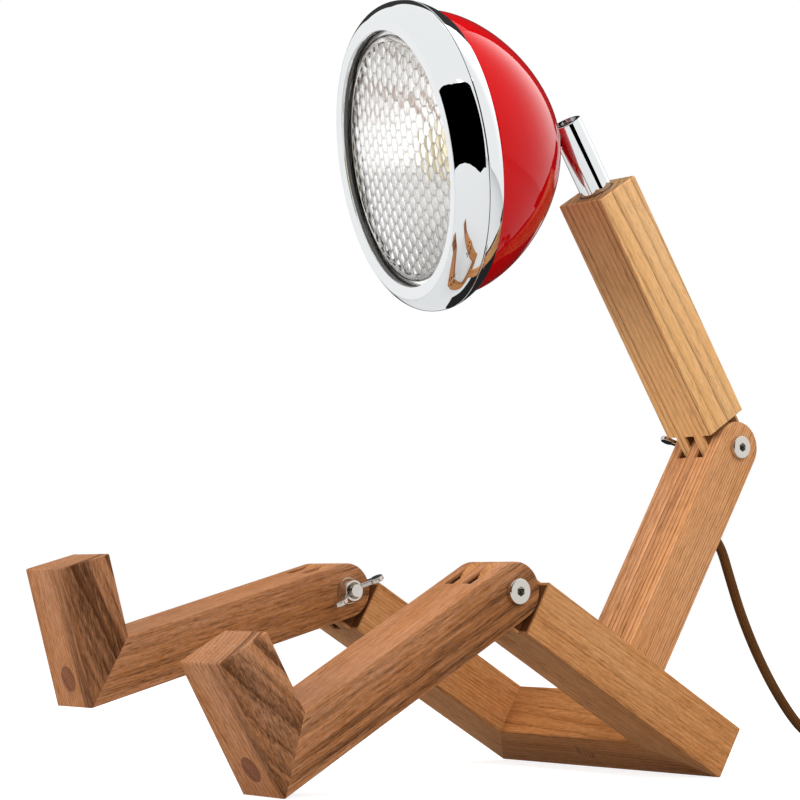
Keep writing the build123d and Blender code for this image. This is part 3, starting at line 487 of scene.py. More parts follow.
@dataclass(frozen=True)
class OiledTimber:
    """Oiled ash with its own pith, ring width and tone.

    The ring normal is on the bar's own axes: across, through its depth and along it. The streaked wood lies
    the heart's length outwards of the bar's middle, and reaches as far as clear to either side of that.
    The knuckle is where the joint bolt sits along the bar, from its middle, and 0 where it has none; near it the sawn
    recesses and shoulders get painted shade.
    """

    name: str
    ring_normal: Point
    pith_distance: float
    ring_width: float
    wander: float
    pale: Color
    warm: Color
    dark: Color
    pore: Color
    band: float = 0.45
    streak: float = 0.35
    clear: float = 40.0
    heart: float = 0.0
    fibre: float = 0.35
    pores: float = 0.6
    roughness: float = 0.46
    specular: float = 0.04
    end: float = 0.9
    knuckle: float = 0.0
    pore_depth: float = 0.06
    # How far the painted recess shade reaches from the knuckle, and how dark it is.
    slot_reach: float = 18.0
    slot_dark: float = 0.92

    @property
    def pith(self) -> float:
        """How far the pith is from the middle of the streaked wood."""
        return self.pith_distance + self.heart

    def material(self, bar: Place) -> bpy.types.Material:
        """The material for a bar whose Z runs along it, through the timber group."""
        made = Material(self.name)
        across = unit(np.array(self.ring_normal) @ bar.axes())
        tree = Place.along(bar.origin, bar.z - (bar.z @ across) * across, across)
        position = made.on_axes(tree.moved(x=-self.pith_distance))
        own = {key: getattr(self, key.lower().replace(" ", "_")) for key in TIMBER_VALUES}
        timber = made.group("timber", Position=position, **own)
        # End grain is darker, as oiled end grain is; the upper torso's end of 0.5 darkens it much further as painted
        # shade.
        facing = made.vector("DOT_PRODUCT", made.node("TexCoord", out="Normal"), tuple(bar.z), out=1)
        end = made.ramp(made.math("ABSOLUTE", facing), (0.8, 1.0), (0.97, self.end))
        color = made.mix(1.0, timber["Color"], end, "MULTIPLY")
        # Painted shade: the knuckle's sawn recesses and shoulders are darkened towards the pore colour.
        if self.knuckle:
            color = made.mix(self.slots(made, bar), color, self.pore)
        rough = made.handled(position, scale=0.04, spread=0.08, base=self.roughness)
        rough = made.math("ADD", rough, timber["Rough"])
        made.set(Base_Color=color, Roughness=rough, Specular_IOR_Level=self.specular)
        made.bump(timber["Height"], self.pore_depth)
        return made.material

    def slots(self, made: Material, bar: Place) -> Socket:
        """Where the sawn recesses and shoulders of the knuckle are, inside the bar's outline: painted shade, in the
        pore colour, where shade falls in them.
        """
        where = made.on_axes(bar)
        sides = made.node("SeparateXYZ", made.vector("ABSOLUTE", where))
        across = made.math("SUBTRACT", BAR_WIDTH / 2, sides)
        through = made.math("SUBTRACT", BAR_DEPTH / 2, sides.node.outputs[1])
        deep = made.times(made.math("MINIMUM", across, through), 1.5, -1.3, clamp=True)  # from 0.9 to 1.5 mm in
        along = made.node("SeparateXYZ", where, out=2)
        inward = made.times(along, -math.copysign(1, self.knuckle), abs(self.knuckle))
        near = made.times(made.math("SUBTRACT", self.slot_reach, inward), 2.0, clamp=True)  # over the last 0.5 mm
        near = made.times(near, made.times(inward, 1.0, clamp=True))  # and over the first millimetre
        return made.times(made.times(deep, near), self.slot_dark)


@dataclass(frozen=True)
class Coat:
    """A finish that is the same on every piece; each kind lays its own nodes."""

    name: str
    color: Color

    def material(self) -> bpy.types.Material:
        """The finished material."""
        made = Material(self.name)
        self.lay(made, made.object_mm())
        return made.material

    def lay(self, made: Material, where: Socket) -> None:
        """Fills the new material, with object coordinates in millimetres at hand."""
        raise NotImplementedError


@dataclass(frozen=True)
class Metal(Coat):
    """A plated, polished or turned metal."""

    roughness: float
    uneven: float
    brushed: float = 0.0

    def lay(self, made: Material, where: Socket) -> None:
        """Bare metal whose gloss varies a little with handling."""
        made.set(Base_Color=self.color, Metallic=1.0,
                 Roughness=made.handled(where, scale=0.06, spread=self.uneven, base=self.roughness))
        if self.brushed:
            lines = made.noise(made.vector("MULTIPLY", where, (6.0, 0.3, 6.0)), 1.0, 2)
            made.bump(lines, self.brushed)


@dataclass(frozen=True)
class Enamel(Coat):
    """Gloss stove enamel over metal."""

    roughness: float = 0.02
    peel: float = 0.002

    def lay(self, made: Material, where: Socket) -> None:
        """Dense glossy colour, a little uneven, with the faintest orange peel."""
        tone = made.noise(where, 0.02, 2)
        made.set(Base_Color=made.mix(tone, self.color, shaded(self.color, 0.86)), Specular_IOR_Level=0.2,
                 Roughness=made.handled(where, scale=0.03, spread=0.02, base=self.roughness))
        made.bump(made.noise(where, 0.5, 1), self.peel)


@dataclass(frozen=True)
class Moulded(Coat):
    """Moulded rubber, plastic or glazed ceramic."""

    roughness: float
    grain: float
    specular: float = 0.4

    def lay(self, made: Material, where: Socket) -> None:
        """One moulded colour with a fine surface grain."""
        color = made.mix(made.noise(where, 1.4, 3, 0.6), self.color, shaded(self.color, 1.25, 0.004))
        made.set(Base_Color=color, Specular_IOR_Level=self.specular,
                 Roughness=made.handled(where, scale=0.08, spread=0.12, base=self.roughness))
        made.bump(made.noise(where, 3.0, 2), self.grain)


@dataclass(frozen=True)
class Glass(Coat):
    """Clear or frosted glass."""

    color: Color = WHITE
    roughness: float = 0.0
    ior: float = 1.3
    crease_shade: float = 0.35
    ripple: float = 0.01

    def lay(self, made: Material, where: Socket) -> None:
        """Glass with a trace of ripple in its surface, tinted darker along the creases between lenslets as painted
        shade, from the mesh's crease_shade mark.
        """
        # Painted shade: the glass is tinted darker along the lenslets' creases.
        crease_shade = made.node("Attribute", out="Fac", attribute_name="crease_shade")
        tint = made.mix(crease_shade, self.color, shaded(self.color, self.crease_shade))
        made.set(Base_Color=tint, Roughness=self.roughness, IOR=self.ior, Transmission_Weight=1.0)
        made.bump(made.noise(where, 0.12, 2), self.ripple)


@dataclass(frozen=True)
class Braid(Coat):
    """Braided textile, on a UV map whose U counts stitches round and V stitches along."""

    dark: Color
    ridge: float = 0.3

    def lay(self, made: Material, where: Socket) -> None:
        """Two families of crossing yarns: ridges of |sin| along U + V and U - V, over one another in turn; the gaps
        between them take the dark colour as painted shade.
        """
        at = made.node("SeparateXYZ", made.node("UVMap", uv_map="braid"))
        u, v = at, at.node.outputs[1]
        ridges = []
        for sign in (1.0, -1.0):
            turn = made.times(v, sign, u)
            ridges.append(made.math("ABSOLUTE", made.math("SINE", made.times(turn, math.pi))))
        over = made.times(made.math("SINE", made.times(v, 2 * math.pi)), 0.5, 0.5)
        high = made.math("MAXIMUM", made.times(ridges[0], over),
                         made.times(ridges[1], made.math("SUBTRACT", 1.0, over)))
        worn = made.noise(where, 0.08, 2)
        # Painted shade: low between the ridges, the mix leans to the dark colour; the worn noise varies it at random.
        shade = made.times(high, 0.8, made.times(worn, 0.3), clamp=True)
        made.set(Base_Color=made.mix(shade, self.dark, self.color), Roughness=0.85, Specular_IOR_Level=0.05)
        made.bump(high, self.ridge)


class Finish(Enum):
    """Every finish on the lamp that isn't timber."""

    CHROME = Metal("chrome", (0.81, 0.83, 0.84, 1.0), 0.004, uneven=0.006)
    NICKEL = Metal("nickel", (0.66, 0.62, 0.57, 1.0), 0.16, uneven=0.06)
    STEEL = Metal("steel", (0.60, 0.59, 0.58, 1.0), 0.26, uneven=0.12, brushed=0.01)
    REFLECTOR = Metal("reflector_metal", (0.74, 0.725, 0.70, 1.0), 0.08, uneven=0.02)
    PINS = Metal("pin_metal", (0.78, 0.72, 0.58, 1.0), 0.18, uneven=0.10)
    ENAMEL = Enamel("enamel", srgb(218, 3, 12))
    LENS = Glass("lens_glass")
    BULB = Glass("bulb_glass", (1.0, 0.90, 0.64, 1.0), roughness=0.35, ior=1.45)
    GASKET = Moulded("gasket_rubber", srgb(112, 111, 108), 0.45, grain=0.004)
    RUBBER = Moulded("rubber", srgb(28, 27, 26), 0.7, grain=0.01, specular=0.3)
    NYLON = Moulded("nylon", srgb(36, 34, 32), 0.5, grain=0.006)
    PORCELAIN = Moulded("porcelain", srgb(232, 229, 220), 0.18, grain=0.002, specular=0.5)
    PLASTIC = Moulded("black_plastic", srgb(34, 31, 29), 0.42, grain=0.012)
    CORD = Braid("cord_textile", srgb(130, 86, 48), srgb(58, 36, 18))
    STRAP = Moulded("strap", srgb(38, 36, 34), 0.8, grain=0.02, specular=0.25)

    def apply(self, *pieces: Piece | str) -> None:
        """Gives pieces, or CAD nodes by name, this finish, made once."""
        material = bpy.data.materials.get(f"{self.value.name}_finish") or self.value.material()
        for piece in pieces:
            dress(piece, material)


def dress(piece: Piece | str, material: bpy.types.Material) -> None:
    """Gives a piece, or a CAD node by name, one material."""
    piece = frame["nodes"][piece] if isinstance(piece, str) else piece
    if not piece.material_slots:
        piece.data.materials.append(material)
    for held in piece.material_slots:
        held.material = material


# ---- Wooden bars ----


def tones(*colors: tuple[int, int, int], **more: float) -> dict[str, object]:
    """A timber's pale, warm, dark and pore colours from screen colours, and any other of its values."""
    return dict(zip(("pale", "warm", "dark", "pore"), (srgb(*color) for color in colors)), **more)


LEG = tones((206, 150, 112), (186, 120, 68), (88, 50, 22), (58, 32, 14), specular=0.13)
HIP = tones((222, 164, 111), (206, 139, 82), (140, 86, 44), (90, 50, 24))
PELVIS = tones((208, 148, 94), (192, 124, 68), (134, 80, 38), (90, 50, 24))
LOWER_TORSO = tones((240, 182, 134), (228, 162, 104), (128, 76, 40), (92, 52, 26))
UPPER_TORSO = tones((252, 204, 150), (246, 190, 126), (132, 82, 42), (100, 60, 28))
DOWEL = tones((168, 112, 84), (150, 96, 66), (104, 62, 46), (62, 36, 22))


@dataclass(frozen=True)
class WoodenFigure:
    """The jointed wooden bars: each gets timber cut for itself."""

    hip_width: float = 160.0
    thigh_length: float = 147.0
    shin_length: float = 147.0
    foot_height: float = 64.0
    torso_length: float = 147.5

    def body_bars(self) -> dict[str, tuple[Place, OiledTimber]]:
        """The middle of the pelvis, of both torso bars and of the torso dowel, with their timber."""
        hips = POSTURE.hips()
        half_torso = self.torso_length / 2
        return {
            "pelvis_bar": (
                Place.along(hips.moved(y=-BAR_WIDTH / 2, z=BAR_DEPTH / 2).origin, hips.x, hips.z),
                OiledTimber("pelvis_timber", (0.60, 0.80, 0.03), 70, 2.6, 3.0, **PELVIS, band=0.6, streak=0.3,
                            fibre=0.28, pores=0.45),
            ),
            "lower_torso": (
                POSTURE.lower_torso().moved(z=-half_torso),
                OiledTimber("lower_torso_timber", (0.39, 0.92, 0.0), 160, 1.3, 0.8, **LOWER_TORSO, band=0.8,
                            streak=0.42, clear=9.0, heart=-14.0, fibre=0.28, knuckle=half_torso),
            ),
            "upper_torso": (
                # Its end of 0.5 is a painted shadow of the lamp head on the top end grain.
                POSTURE.upper_torso().moved(z=half_torso),
                OiledTimber("upper_torso_timber", (0.86, 0.51, 0.02), 140, 3.4, 1.0, **UPPER_TORSO, band=0.75,
                            streak=0.0, fibre=0.14, pores=0.5, end=0.5, knuckle=-half_torso),
            ),
            "torso_dowel": (
                hips.moved(y=-BAR_WIDTH / 2),
                OiledTimber("torso_dowel_timber", (0.8, 0.6, 0.0), 30, 2.0, 1.0, **HIP, band=0.6, fibre=0.6),
            ),
        }

    def leg_bars(self, side: str) -> dict[str, tuple[Place, OiledTimber]]:
        """The middle of a thigh, shin, foot and foot dowel, with their timber."""
        sign, shin_streak, foot_normal, foot_rings, foot_wander, foot_streak = {
            "left": (1, 0.55, (0.90, 0.42, 0.14), 3.0, 3.0, 0.52),
            "right": (-1, 0.22, (0.93, 0.33, 0.06), 1.7, 1.8, 0.68),
        }[side]
        across = sign * (self.hip_width - BAR_WIDTH) / 2
        leg = POSTURE.leg(side)
        return {
            f"thigh_{side}": (
                POSTURE.hips().moved(x=across, y=-self.thigh_length / 2, z=BAR_DEPTH / 2).tilted(90),
                OiledTimber(f"thigh_{side}_timber", (0.45 * sign, 0.89, 0.02), 100, 1.7, 1.2, **HIP, band=0.5,
                            streak=0.12, fibre=0.3, pores=0.5, knuckle=self.thigh_length / 2),
            ),
            f"shin_{side}": (
                leg.moved(y=-self.shin_length / 2).tilted(90),
                OiledTimber(f"shin_{side}_timber", (0.10, 0.99, 0.0), 150, 4.6, 3.0, **LEG, band=0.3,
                            streak=shin_streak, clear=11.8, fibre=0.36, pores=0.75, knuckle=-self.shin_length / 2),
            ),
            f"foot_{side}": (
                leg.moved(y=-self.shin_length + BAR_DEPTH / 2, z=(self.foot_height - BAR_DEPTH) / 2),
                OiledTimber(f"foot_{side}_timber", foot_normal, 90, foot_rings, foot_wander, **LEG,
                            streak=foot_streak, clear=13.0, heart=15.0, fibre=0.34, pores=0.75),
            ),
            f"foot_dowel_{side}": (
                leg.moved(y=-self.shin_length).tilted(90),
                OiledTimber(f"foot_dowel_{side}_timber", (0.8, 0.6, 0.0), 30, 2.0, 1.0, **DOWEL),
            ),
        }

    def build(self) -> None:
        """Dresses every bar and dowel; each place has Z along the bar, X across it and Y through its depth."""
        bars = {**self.body_bars(), **self.leg_bars("left"), **self.leg_bars("right")}
        for node, (bar, timber) in bars.items():
            dress(node, timber.material(bar))
            log.info("bar %s in %s", node, timber.name)


# ---- Fasteners and neck ----


@dataclass(frozen=True)
class Fasteners:
    """Joint bolts, washers, wing nuts and the small steel pieces of the neck."""

    joints: tuple[str, ...] = ("knee_{}_left", "knee_{}_right", "waist_{}")

    def build(self) -> None:
        """Plates the joint hardware and turns the rest in steel."""
        for name in self.joints:
            Finish.NICKEL.apply(*(name.format(kind) for kind in ("bolt", "washer", "wing_nut")))
        Finish.STEEL.apply("neck_grub_screw", "tilt_pin", "head_stud", "stud_nut", "retaining_ring")
        Finish.NYLON.apply("neck_bush")
        Finish.CHROME.apply("neck_tube")
        log.info("fasteners and neck dressed")


# ---- Lamp head ----


@dataclass(frozen=True)
class LampHead:
    """The round lamp head, on axes at the tilt pin with Z out of the lamp."""

    body: str = "head"
    shell_rim: float = 71.5
    shell_radius: float = 68.5
    shell_depth: float = 60.43
    shell_fullness: float = 1.62
    shell_wall: float = 1.2
    land_radius: float = 7.0
    flange: float = 8.5
    stud_radius: float = 2.55
    seam: float = 80.9
    seam_radius: float = 74.1
    seam_gap: float = 0.3
    trim_wall: float = 0.9
    ring: float = 95.5
    ring_radius: float = 67.4
    mouth: float = 94.9
    mouth_radius: float = 61.2
    trim_bulge: float = 2.6
    trim_corners: tuple[float, ...] = (0.35, 0.55, 0.3, 0.2)
    trim_steps: int = 48
    band_bulge: float = 0.5
    band_corners: tuple[float, ...] = (0.4, 0.35, 0.2)
    band_steps: int = 16
    rim_radius: float = 64.6
    lens_front: float = 92.3
    lens_thickness: float = 2.4
    lens_face_radius: float = 58.0
    lens_dome: float = 2.4
    lens_step: float = 0.5
    lens_rings: int = 140
    lens_back_rings: int = 14
    lens_segments: int = 540
    lenslet_pitch: float = 6.9
    lenslet_depth: float = 0.62
    crease_width: float = 0.9
    lenslet_edge: float = 55.5
    dish_radius: float = 59.0
    dish_hole: float = 17.0
    dish_back: float = 40.0
    dish_wall: float = 0.9
    seat_play: float = 0.05
    curve_steps: int = 60

    def surface(self, name: str, radius: Array, height: Array, closed: bool, smooth_below: float) -> Piece:
        """Rings of points round Z, joined by faces.

        Args:
            name: the piece's name.
            radius: (n, 1) array of the rings' radii, in millimetres.
            height: (n, m) array of the heights round each ring, in millimetres.
            closed: whether the last ring joins the first.
            smooth_below: edges that turn by more degrees than this stay sharp.

        Returns:
            The new object, with a pole's points not yet merged.
        """
        t = np.linspace(0, 2 * np.pi, height.shape[1], endpoint=False)
        local = np.stack([radius * np.cos(t), radius * np.sin(t), height], -1)
        points = POSTURE.head().points(local.reshape(-1, 3))
        return mesh_piece(name, points, grid_faces(*height.shape, closed, True).tolist(), self.body, smooth_below)

    def declare(self, piece: Piece, finish: Finish, node: str) -> Piece:
        """Dresses a piece that stands for a node, in a slot with its finish's name."""
        finish.apply(piece)
        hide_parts(node)
        return piece

    def turn(self, name: str, loop: Array, finish: Finish, node: str, smooth_below: float = 40,
             segments: int = 256) -> Piece:
        """A turned piece, from a closed loop of (radius, height) points that runs anticlockwise."""
        piece = self.surface(name, loop[:, :1], np.repeat(loop[:, 1:], segments, 1), True, smooth_below)
        weld(piece)
        return self.declare(piece, finish, node)

    def bowl(self, inset: float) -> Array:
        """Profile of the bowl from its land to its rim: r = R sin(t)^k, h = rim - D cos(t)^k, with k = 2 / fullness."""
        k = 2 / self.shell_fullness
        radius, depth = self.shell_radius - inset, self.shell_depth - inset
        start = math.asin((self.land_radius / radius) ** (1 / k))
        t = np.linspace(start, math.pi / 2, self.curve_steps)
        return np.stack([radius * np.sin(t) ** k, self.shell_rim - depth * np.cos(t).clip(0) ** k], -1)

    def shell(self) -> Piece:
        """The enamelled bowl."""
        outer, inner = self.bowl(0), self.bowl(self.shell_wall)
        front = self.shell_rim + self.flange
        loop = np.concatenate([
            [(self.stud_radius, outer[0, 1])], outer, [(self.shell_radius, front)],
            [(self.shell_radius - self.shell_wall, front)], inner[::-1], [(self.stud_radius, inner[0, 1])],
        ])
        return self.turn("enamelled_shell", loop, Finish.ENAMEL, "head_shell", smooth_below=30)

    def rear_band(self) -> Piece:
        """The narrow band behind the seam, rolled at both edges."""
        wall, front = self.trim_wall, self.seam - self.seam_gap / 2
        bulge, steps = self.band_bulge, self.band_steps
        outer = arc((self.shell_radius + wall, self.shell_rim), (self.seam_radius, front), bulge, steps)
        inner = arc((self.shell_radius, self.shell_rim), (self.seam_radius - wall, front), bulge, steps)
        loop = np.concatenate([outer, inner[::-1]])
        loop = rounded(loop, dict(zip((0, steps - 1, len(loop) - 1), self.band_corners)))
        return self.turn("rear_band", loop, Finish.CHROME, "clamp_band", smooth_below=60, segments=512)

    def front_ring(self) -> Piece:
        """The wide ring: a full side, a rolled front edge, a flat face and a lip into the mouth."""
        wall, back = self.trim_wall, self.seam + self.seam_gap / 2
        bulge, steps = self.trim_bulge, self.trim_steps
        outer = arc((self.seam_radius, back), (self.ring_radius, self.ring), bulge, steps)
        inner = arc((self.seam_radius - wall, back), (self.ring_radius - wall, self.ring - wall), bulge, steps)
        lip = [(self.mouth_radius, self.mouth), (self.mouth_radius, self.mouth - wall)]
        loop = np.concatenate([outer, lip, inner[::-1]])
        loop = rounded(loop, dict(zip((0, steps - 1, steps, steps + 1), self.trim_corners)), steps=6)
        return self.turn("front_ring", loop, Finish.CHROME, "trim_ring", smooth_below=60, segments=512)

    def lenslets(self, x: Array, y: Array) -> tuple[Array, Array]:
        """The cut of the small lenses at points of the face.

        The middles form a hexagonal lattice of pitch p. The cut is depth (d / a)^2, for the distance d to the
        nearest middle and a = p / sqrt 3 from a middle to a corner. The crease_shade, painted shade along the creases,
        falls from 1 to 0 away from the line to the next middle along u: its distance is p / 2 - d.u.

        Returns:
            How far the glass is cut in, in millimetres, and the crease_shade, painted shade along the creases, from 0
            to 1.
        """
        pitch, column = self.lenslet_pitch, self.lenslet_pitch * math.sqrt(3) / 2
        nearest, dx, dy = np.full(x.shape, np.inf), 0 * x, 0 * x
        for shift in (0, 1):
            i = 2 * np.round((x / column - shift) / 2) + shift
            j = np.round(y / pitch - shift / 2) + shift / 2
            ex, ey = x - i * column, y - j * pitch
            square = ex**2 + ey**2
            closer = square < nearest
            nearest, dx, dy = np.where(closer, square, nearest), np.where(closer, ex, dx), np.where(closer, ey, dy)
        across = np.max([dx * math.cos(t) + dy * math.sin(t) for t in (np.arange(6) + 0.5) * math.pi / 3], axis=0)
        inside = np.hypot(x, y) < self.lenslet_edge
        crease_shade = np.clip(1 - (pitch / 2 - across) / self.crease_width, 0, 1)
        return self.lenslet_depth * nearest / (pitch**2 / 3) * inside, crease_shade * inside

    def face(self, radius: Array, base: float) -> Array:
        """Profile of one face of the lens above its base: h = base + dome (1 - (r / R)^2), R the face radius."""
        return np.stack([radius, base + self.lens_dome * (1 - (radius / self.lens_face_radius) ** 2)], -1)

    def lens(self) -> Piece:
        """The pressed glass: a comb of small lenses inside a plain flange, smooth behind."""
        back, step = self.lens_front - self.lens_thickness, self.lens_face_radius + self.lens_step
        profile = np.concatenate([
            self.face(np.linspace(0, self.lens_face_radius, self.lens_back_rings), back),
            [(self.rim_radius, back), (self.rim_radius, self.lens_front), (step, self.lens_front)],
            self.face(np.linspace(self.lens_face_radius, 0, self.lens_rings), self.lens_front - self.lens_step),
        ])
        t = np.linspace(0, 2 * np.pi, self.lens_segments, endpoint=False)
        radius, height = profile[:, :1], profile[:, 1:] + 0 * t
        # The second value is the painted shade along the creases, carried on the mesh as a point attribute.
        cut, crease_shade = self.lenslets(radius * np.cos(t), radius * np.sin(t))
        height[-self.lens_rings:] -= cut[-self.lens_rings:]
        crease_shade[:-self.lens_rings] = 0
        piece = self.surface("lens_glass", radius, height, closed=False, smooth_below=35)
        marked = piece.data.attributes.new("crease_shade", "FLOAT", "POINT")
        marked.data.foreach_set("value", crease_shade.ravel().astype(np.float32))
        weld(piece)
        return self.declare(piece, Finish.LENS, "lens")

    def dish(self) -> Piece:
        """The bright parabola h = back + (r^2 - hole^2) / s behind the lens, with its flat rim."""
        rim = self.lens_front - self.lens_thickness - self.seat_play
        rim_back = rim - self.dish_wall
        slope = (self.dish_radius**2 - self.dish_hole**2) / (rim_back - self.dish_back)
        r = np.linspace(self.dish_hole, self.dish_radius, self.curve_steps)
        h = self.dish_back + (r**2 - self.dish_hole**2) / slope
        loop = np.concatenate([
            np.stack([r + self.dish_wall, h], -1),
            [(self.rim_radius, rim_back), (self.rim_radius, rim), (self.dish_radius, rim)],
            np.stack([r, h], -1)[::-1],
        ])
        return self.turn("dish", loop, Finish.REFLECTOR, "reflector")

    def build(self) -> None:
        """Builds the shell, the trim, the optics and the lamp."""
        for piece in (self.shell(), self.rear_band(), self.front_ring(), self.lens(), self.dish()):
            log.info("head piece %s", piece.name)
        Finish.BULB.apply("bulb")
        Finish.GASKET.apply("lens_gasket")
        Finish.PORCELAIN.apply("lamp_holder")


# ---- Cord ----


@dataclass(frozen=True)
class Cord:
    """The textile cord: from the torso's back to the switch, and from there by a coil to the plug."""

    body: str = "hips"
    diameter: float = 5.0
    exit_behind: float = 65.7484
    exit_up: float = 116.545
    drop: tuple[Pair, ...] = ((71.4, 113.3), (76.7, 107.2), (81.6, 94.6), (90.4, 73.0), (103.4, 50.0),
                              (118.0, 30.0), (133.0, 14.6), (148.0, 8.0), (158.0, 8.0))
    outlet: Point = (0.0, 232.0, 8.0)
    lead: tuple[Point, ...] = ((0.0, 242.0, 8.0), (3.6, 253.0, 5.2), (7.4, 264.0, 3.3))
    coil_middle: Pair = (46.0, 272.0)
    coil_radius: float = 27.5
    coil_turns: float = 8.5
    coil_pitch: float = 5.1
    coil_floor: float = 3.3
    coil_climb: float = 0.25  # the share of a turn in which the cord climbs to the upper layer
    tail: tuple[Point, ...] = ((84.3, 257.0, 8.3), (80.0, 243.5, 7.5), (79.0, 229.5, 6.9))
    per_turn: int = 16
    ring_points: int = 14
    stitches_round: int = 12
    seam_towards: Point = (0.3, 0.1, 1.0)
    switch_length: float = 150.0
    plug_length: float = 1554.0

    def first_route(self) -> Array:
        """From the grommet down to the switch, in the plane of symmetry."""
        return np.array([(0, self.exit_behind, self.exit_up)] + [(0, y, z) for y, z in self.drop], float)

    def coil(self) -> Array:
        """Two layers of turns: the lower winds in, the upper back out, radius changing by one pitch a turn."""
        layer = self.coil_turns / 2
        outer = self.coil_radius + self.coil_pitch * layer / 2
        turns = np.arange(round(self.coil_turns * self.per_turn) + 1) / self.per_turn
        radius = outer - self.coil_pitch * np.where(turns <= layer, turns, 2 * layer - turns)
        rise = np.clip((turns - layer) / self.coil_climb + 0.5, 0, 1)
        angle = np.pi - 2 * np.pi * turns
        x, y = self.coil_middle
        return np.stack([x + radius * np.cos(angle), y + radius * np.sin(angle),
                         self.coil_floor + self.diameter * rise], -1)

    def second_route(self) -> Array:
        """From the switch through the coil to the plug."""
        return np.concatenate([[self.outlet], self.lead, self.coil(), self.tail]).astype(float)

    def spine(self, name: str, route: Array) -> Array:
        """Points read along the route's smooth NURBS spline, in metres."""
        curve = bpy.data.curves.new(name, "CURVE")
        curve.dimensions = "3D"
        spline = curve.splines.new("NURBS")
        spline.points.add(len(route) - 1)
        placed = POSTURE.back_edge().points(route)
        spline.points.foreach_set("co", np.c_[placed, np.ones(len(placed))].ravel())
        spline.order_u, spline.use_endpoint_u, spline.resolution_u = 3, True, 6
        holder = bpy.data.objects.new(name, curve)
        mesh = bpy.data.meshes.new_from_object(holder)
        points = np.array([v.co for v in mesh.vertices], float)
        bpy.data.objects.remove(holder)
        bpy.data.meshes.remove(mesh)
        bpy.data.curves.remove(curve)
        return points

    def tube(self, name: str, spine: Array) -> Piece:
        """A round tube on a spine, its rings carried along without twist, with a UV map that counts stitches."""
        ahead = np.gradient(spine, axis=0)
        ahead /= np.linalg.norm(ahead, axis=1)[:, None]
        side = np.empty_like(spine)
        side[0] = unit(np.cross(ahead[0], self.seam_towards))
        for i in range(1, len(spine)):
            side[i] = unit(side[i - 1] - (side[i - 1] @ ahead[i]) * ahead[i])
        up = np.cross(ahead, side)
        t = np.linspace(0, 2 * np.pi, self.ring_points, endpoint=False)[:, None]
        around = np.cos(t) * side[:, None] + np.sin(t) * up[:, None]
        rings = spine[:, None] + MM * self.diameter / 2 * around
        faces = grid_faces(len(spine), self.ring_points, False, True)
        last = (len(spine) - 1) * self.ring_points
        ends = [list(range(self.ring_points))[::-1], list(range(last, last + self.ring_points))]
        piece = mesh_piece(name, rings.reshape(-1, 3), faces.tolist() + ends, self.body, smooth_below=60)
        self.map_stitches(piece.data, spine, len(faces))
        return piece

    def map_stitches(self, mesh: bpy.types.Mesh, spine: Array, quads: int) -> None:
        """U runs round the tube and V along it, both in stitches of one size.

        Args:
            mesh: the tube, whose quads come before its two ends.
            spine: the middles of its rings, in metres.
            quads: how many quads it has.
        """
        length = np.r_[0, np.cumsum(np.linalg.norm(np.diff(spine, axis=0), axis=1))] / MM
        stitch = math.pi * self.diameter / self.stitches_round
        corner = np.empty(len(mesh.loops), np.int32)
        mesh.loops.foreach_get("vertex_index", corner)
        ring, step = corner // self.ring_points, corner % self.ring_points
        sides = step[: 4 * quads].reshape(-1, 4)
        at_seam = (sides == self.ring_points - 1).any(1, keepdims=True)
        sides[at_seam & (sides == 0)] = self.ring_points
        places = np.stack([step * self.stitches_round / self.ring_points, (length / stitch)[ring]], -1)
        mesh.uv_layers.new(name="braid").data.foreach_set("uv", places.astype(np.float32).ravel())

    def build(self) -> None:
        switch = [frame["nodes"][n] for n in ("switch_base", "switch_cover", "switch_rocker", "cord_grommet")]
        plug = [frame["nodes"][n] for n in ("plug_body", "plug_pins", "cord_tie")]
        for name, route, replaced, length, end, lay, others in (
            ("cord_to_switch", self.first_route(), ["mains_cord"], self.switch_length, "fitting", "loose", switch),
            ("cord_to_plug", self.second_route(), ["switch_lead", "cord_coil", "plug_lead"], self.plug_length,
             "plug", "coiled", plug),
        ):
            spine = self.spine(name, route)
            piece = self.tube(name, spine)
            Finish.CORD.apply(piece)
            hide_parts(*replaced)
            run = np.linalg.norm(np.diff(spine, axis=0), axis=1).sum()
            log.info("cord %s of %.3f m", name, run)
        Finish.RUBBER.apply("cord_grommet")
        Finish.STRAP.apply("cord_tie")
        Finish.PLASTIC.apply("switch_base", "switch_cover", "switch_rocker", "plug_body")
        Finish.PINS.apply("plug_pins")


# ---- Studio ----


@dataclass(frozen=True)
class Card:
    """A card that only reflections see.

    Each column is an azimuth and the card's lowest and highest edge there, in degrees seen from the middle of
    the lamp head. The distance is from the head's axis, in metres; 0 lays the card on the floor. The edges
    have the rim's brightness, which rises to a column's peak as sin(pi s) over its height s; without peaks
    the whole card is as bright as its rim.
    """

    name: str
    distance: float
    rim: float
    columns: tuple[Point, ...]
    peaks: tuple[float, ...] = ()


CARDS = (
    Card("dark_front", 0.84, 0.0, ((-78, -16, 12), (-68, -17, 15), (-57, -17, 21), (-43, -21, 27), (-23, -24, 34),
                                   (-3, -24, 40), (17, -22, 44), (36, -18, 46), (50, -10, 45), (56, -9, 43))),
    Card("dark_behind", 1.6, 0.04, ((152, 10, 50), (160, 4, 50), (170, -12, 48), (182, -12, 46), (194, -12, 42),
                                    (208, 0, 38))),
    Card("dark_floor", 0.0, 0.02, ((115, -62, -47), (119, -62, -35), (125, -62, -22), (134, -62, -11),
                                   (141, -62, -5), (158, -60, -5), (176, -60, -5))),
    Card("dark_low", 1.55, 0.02, ((128, -18, -10), (134, -13, -3), (141, -13, 3), (150, -13, 8), (160, -13, 6))),
    Card("bright_behind", 1.6, 1.0, ((104, 0, 66), (118, 0, 66), (130, 0, 66), (142, 4, 66), (152, 8, 64)),
         (1.0, 1.25, 1.7, 2.3, 2.8)),
)


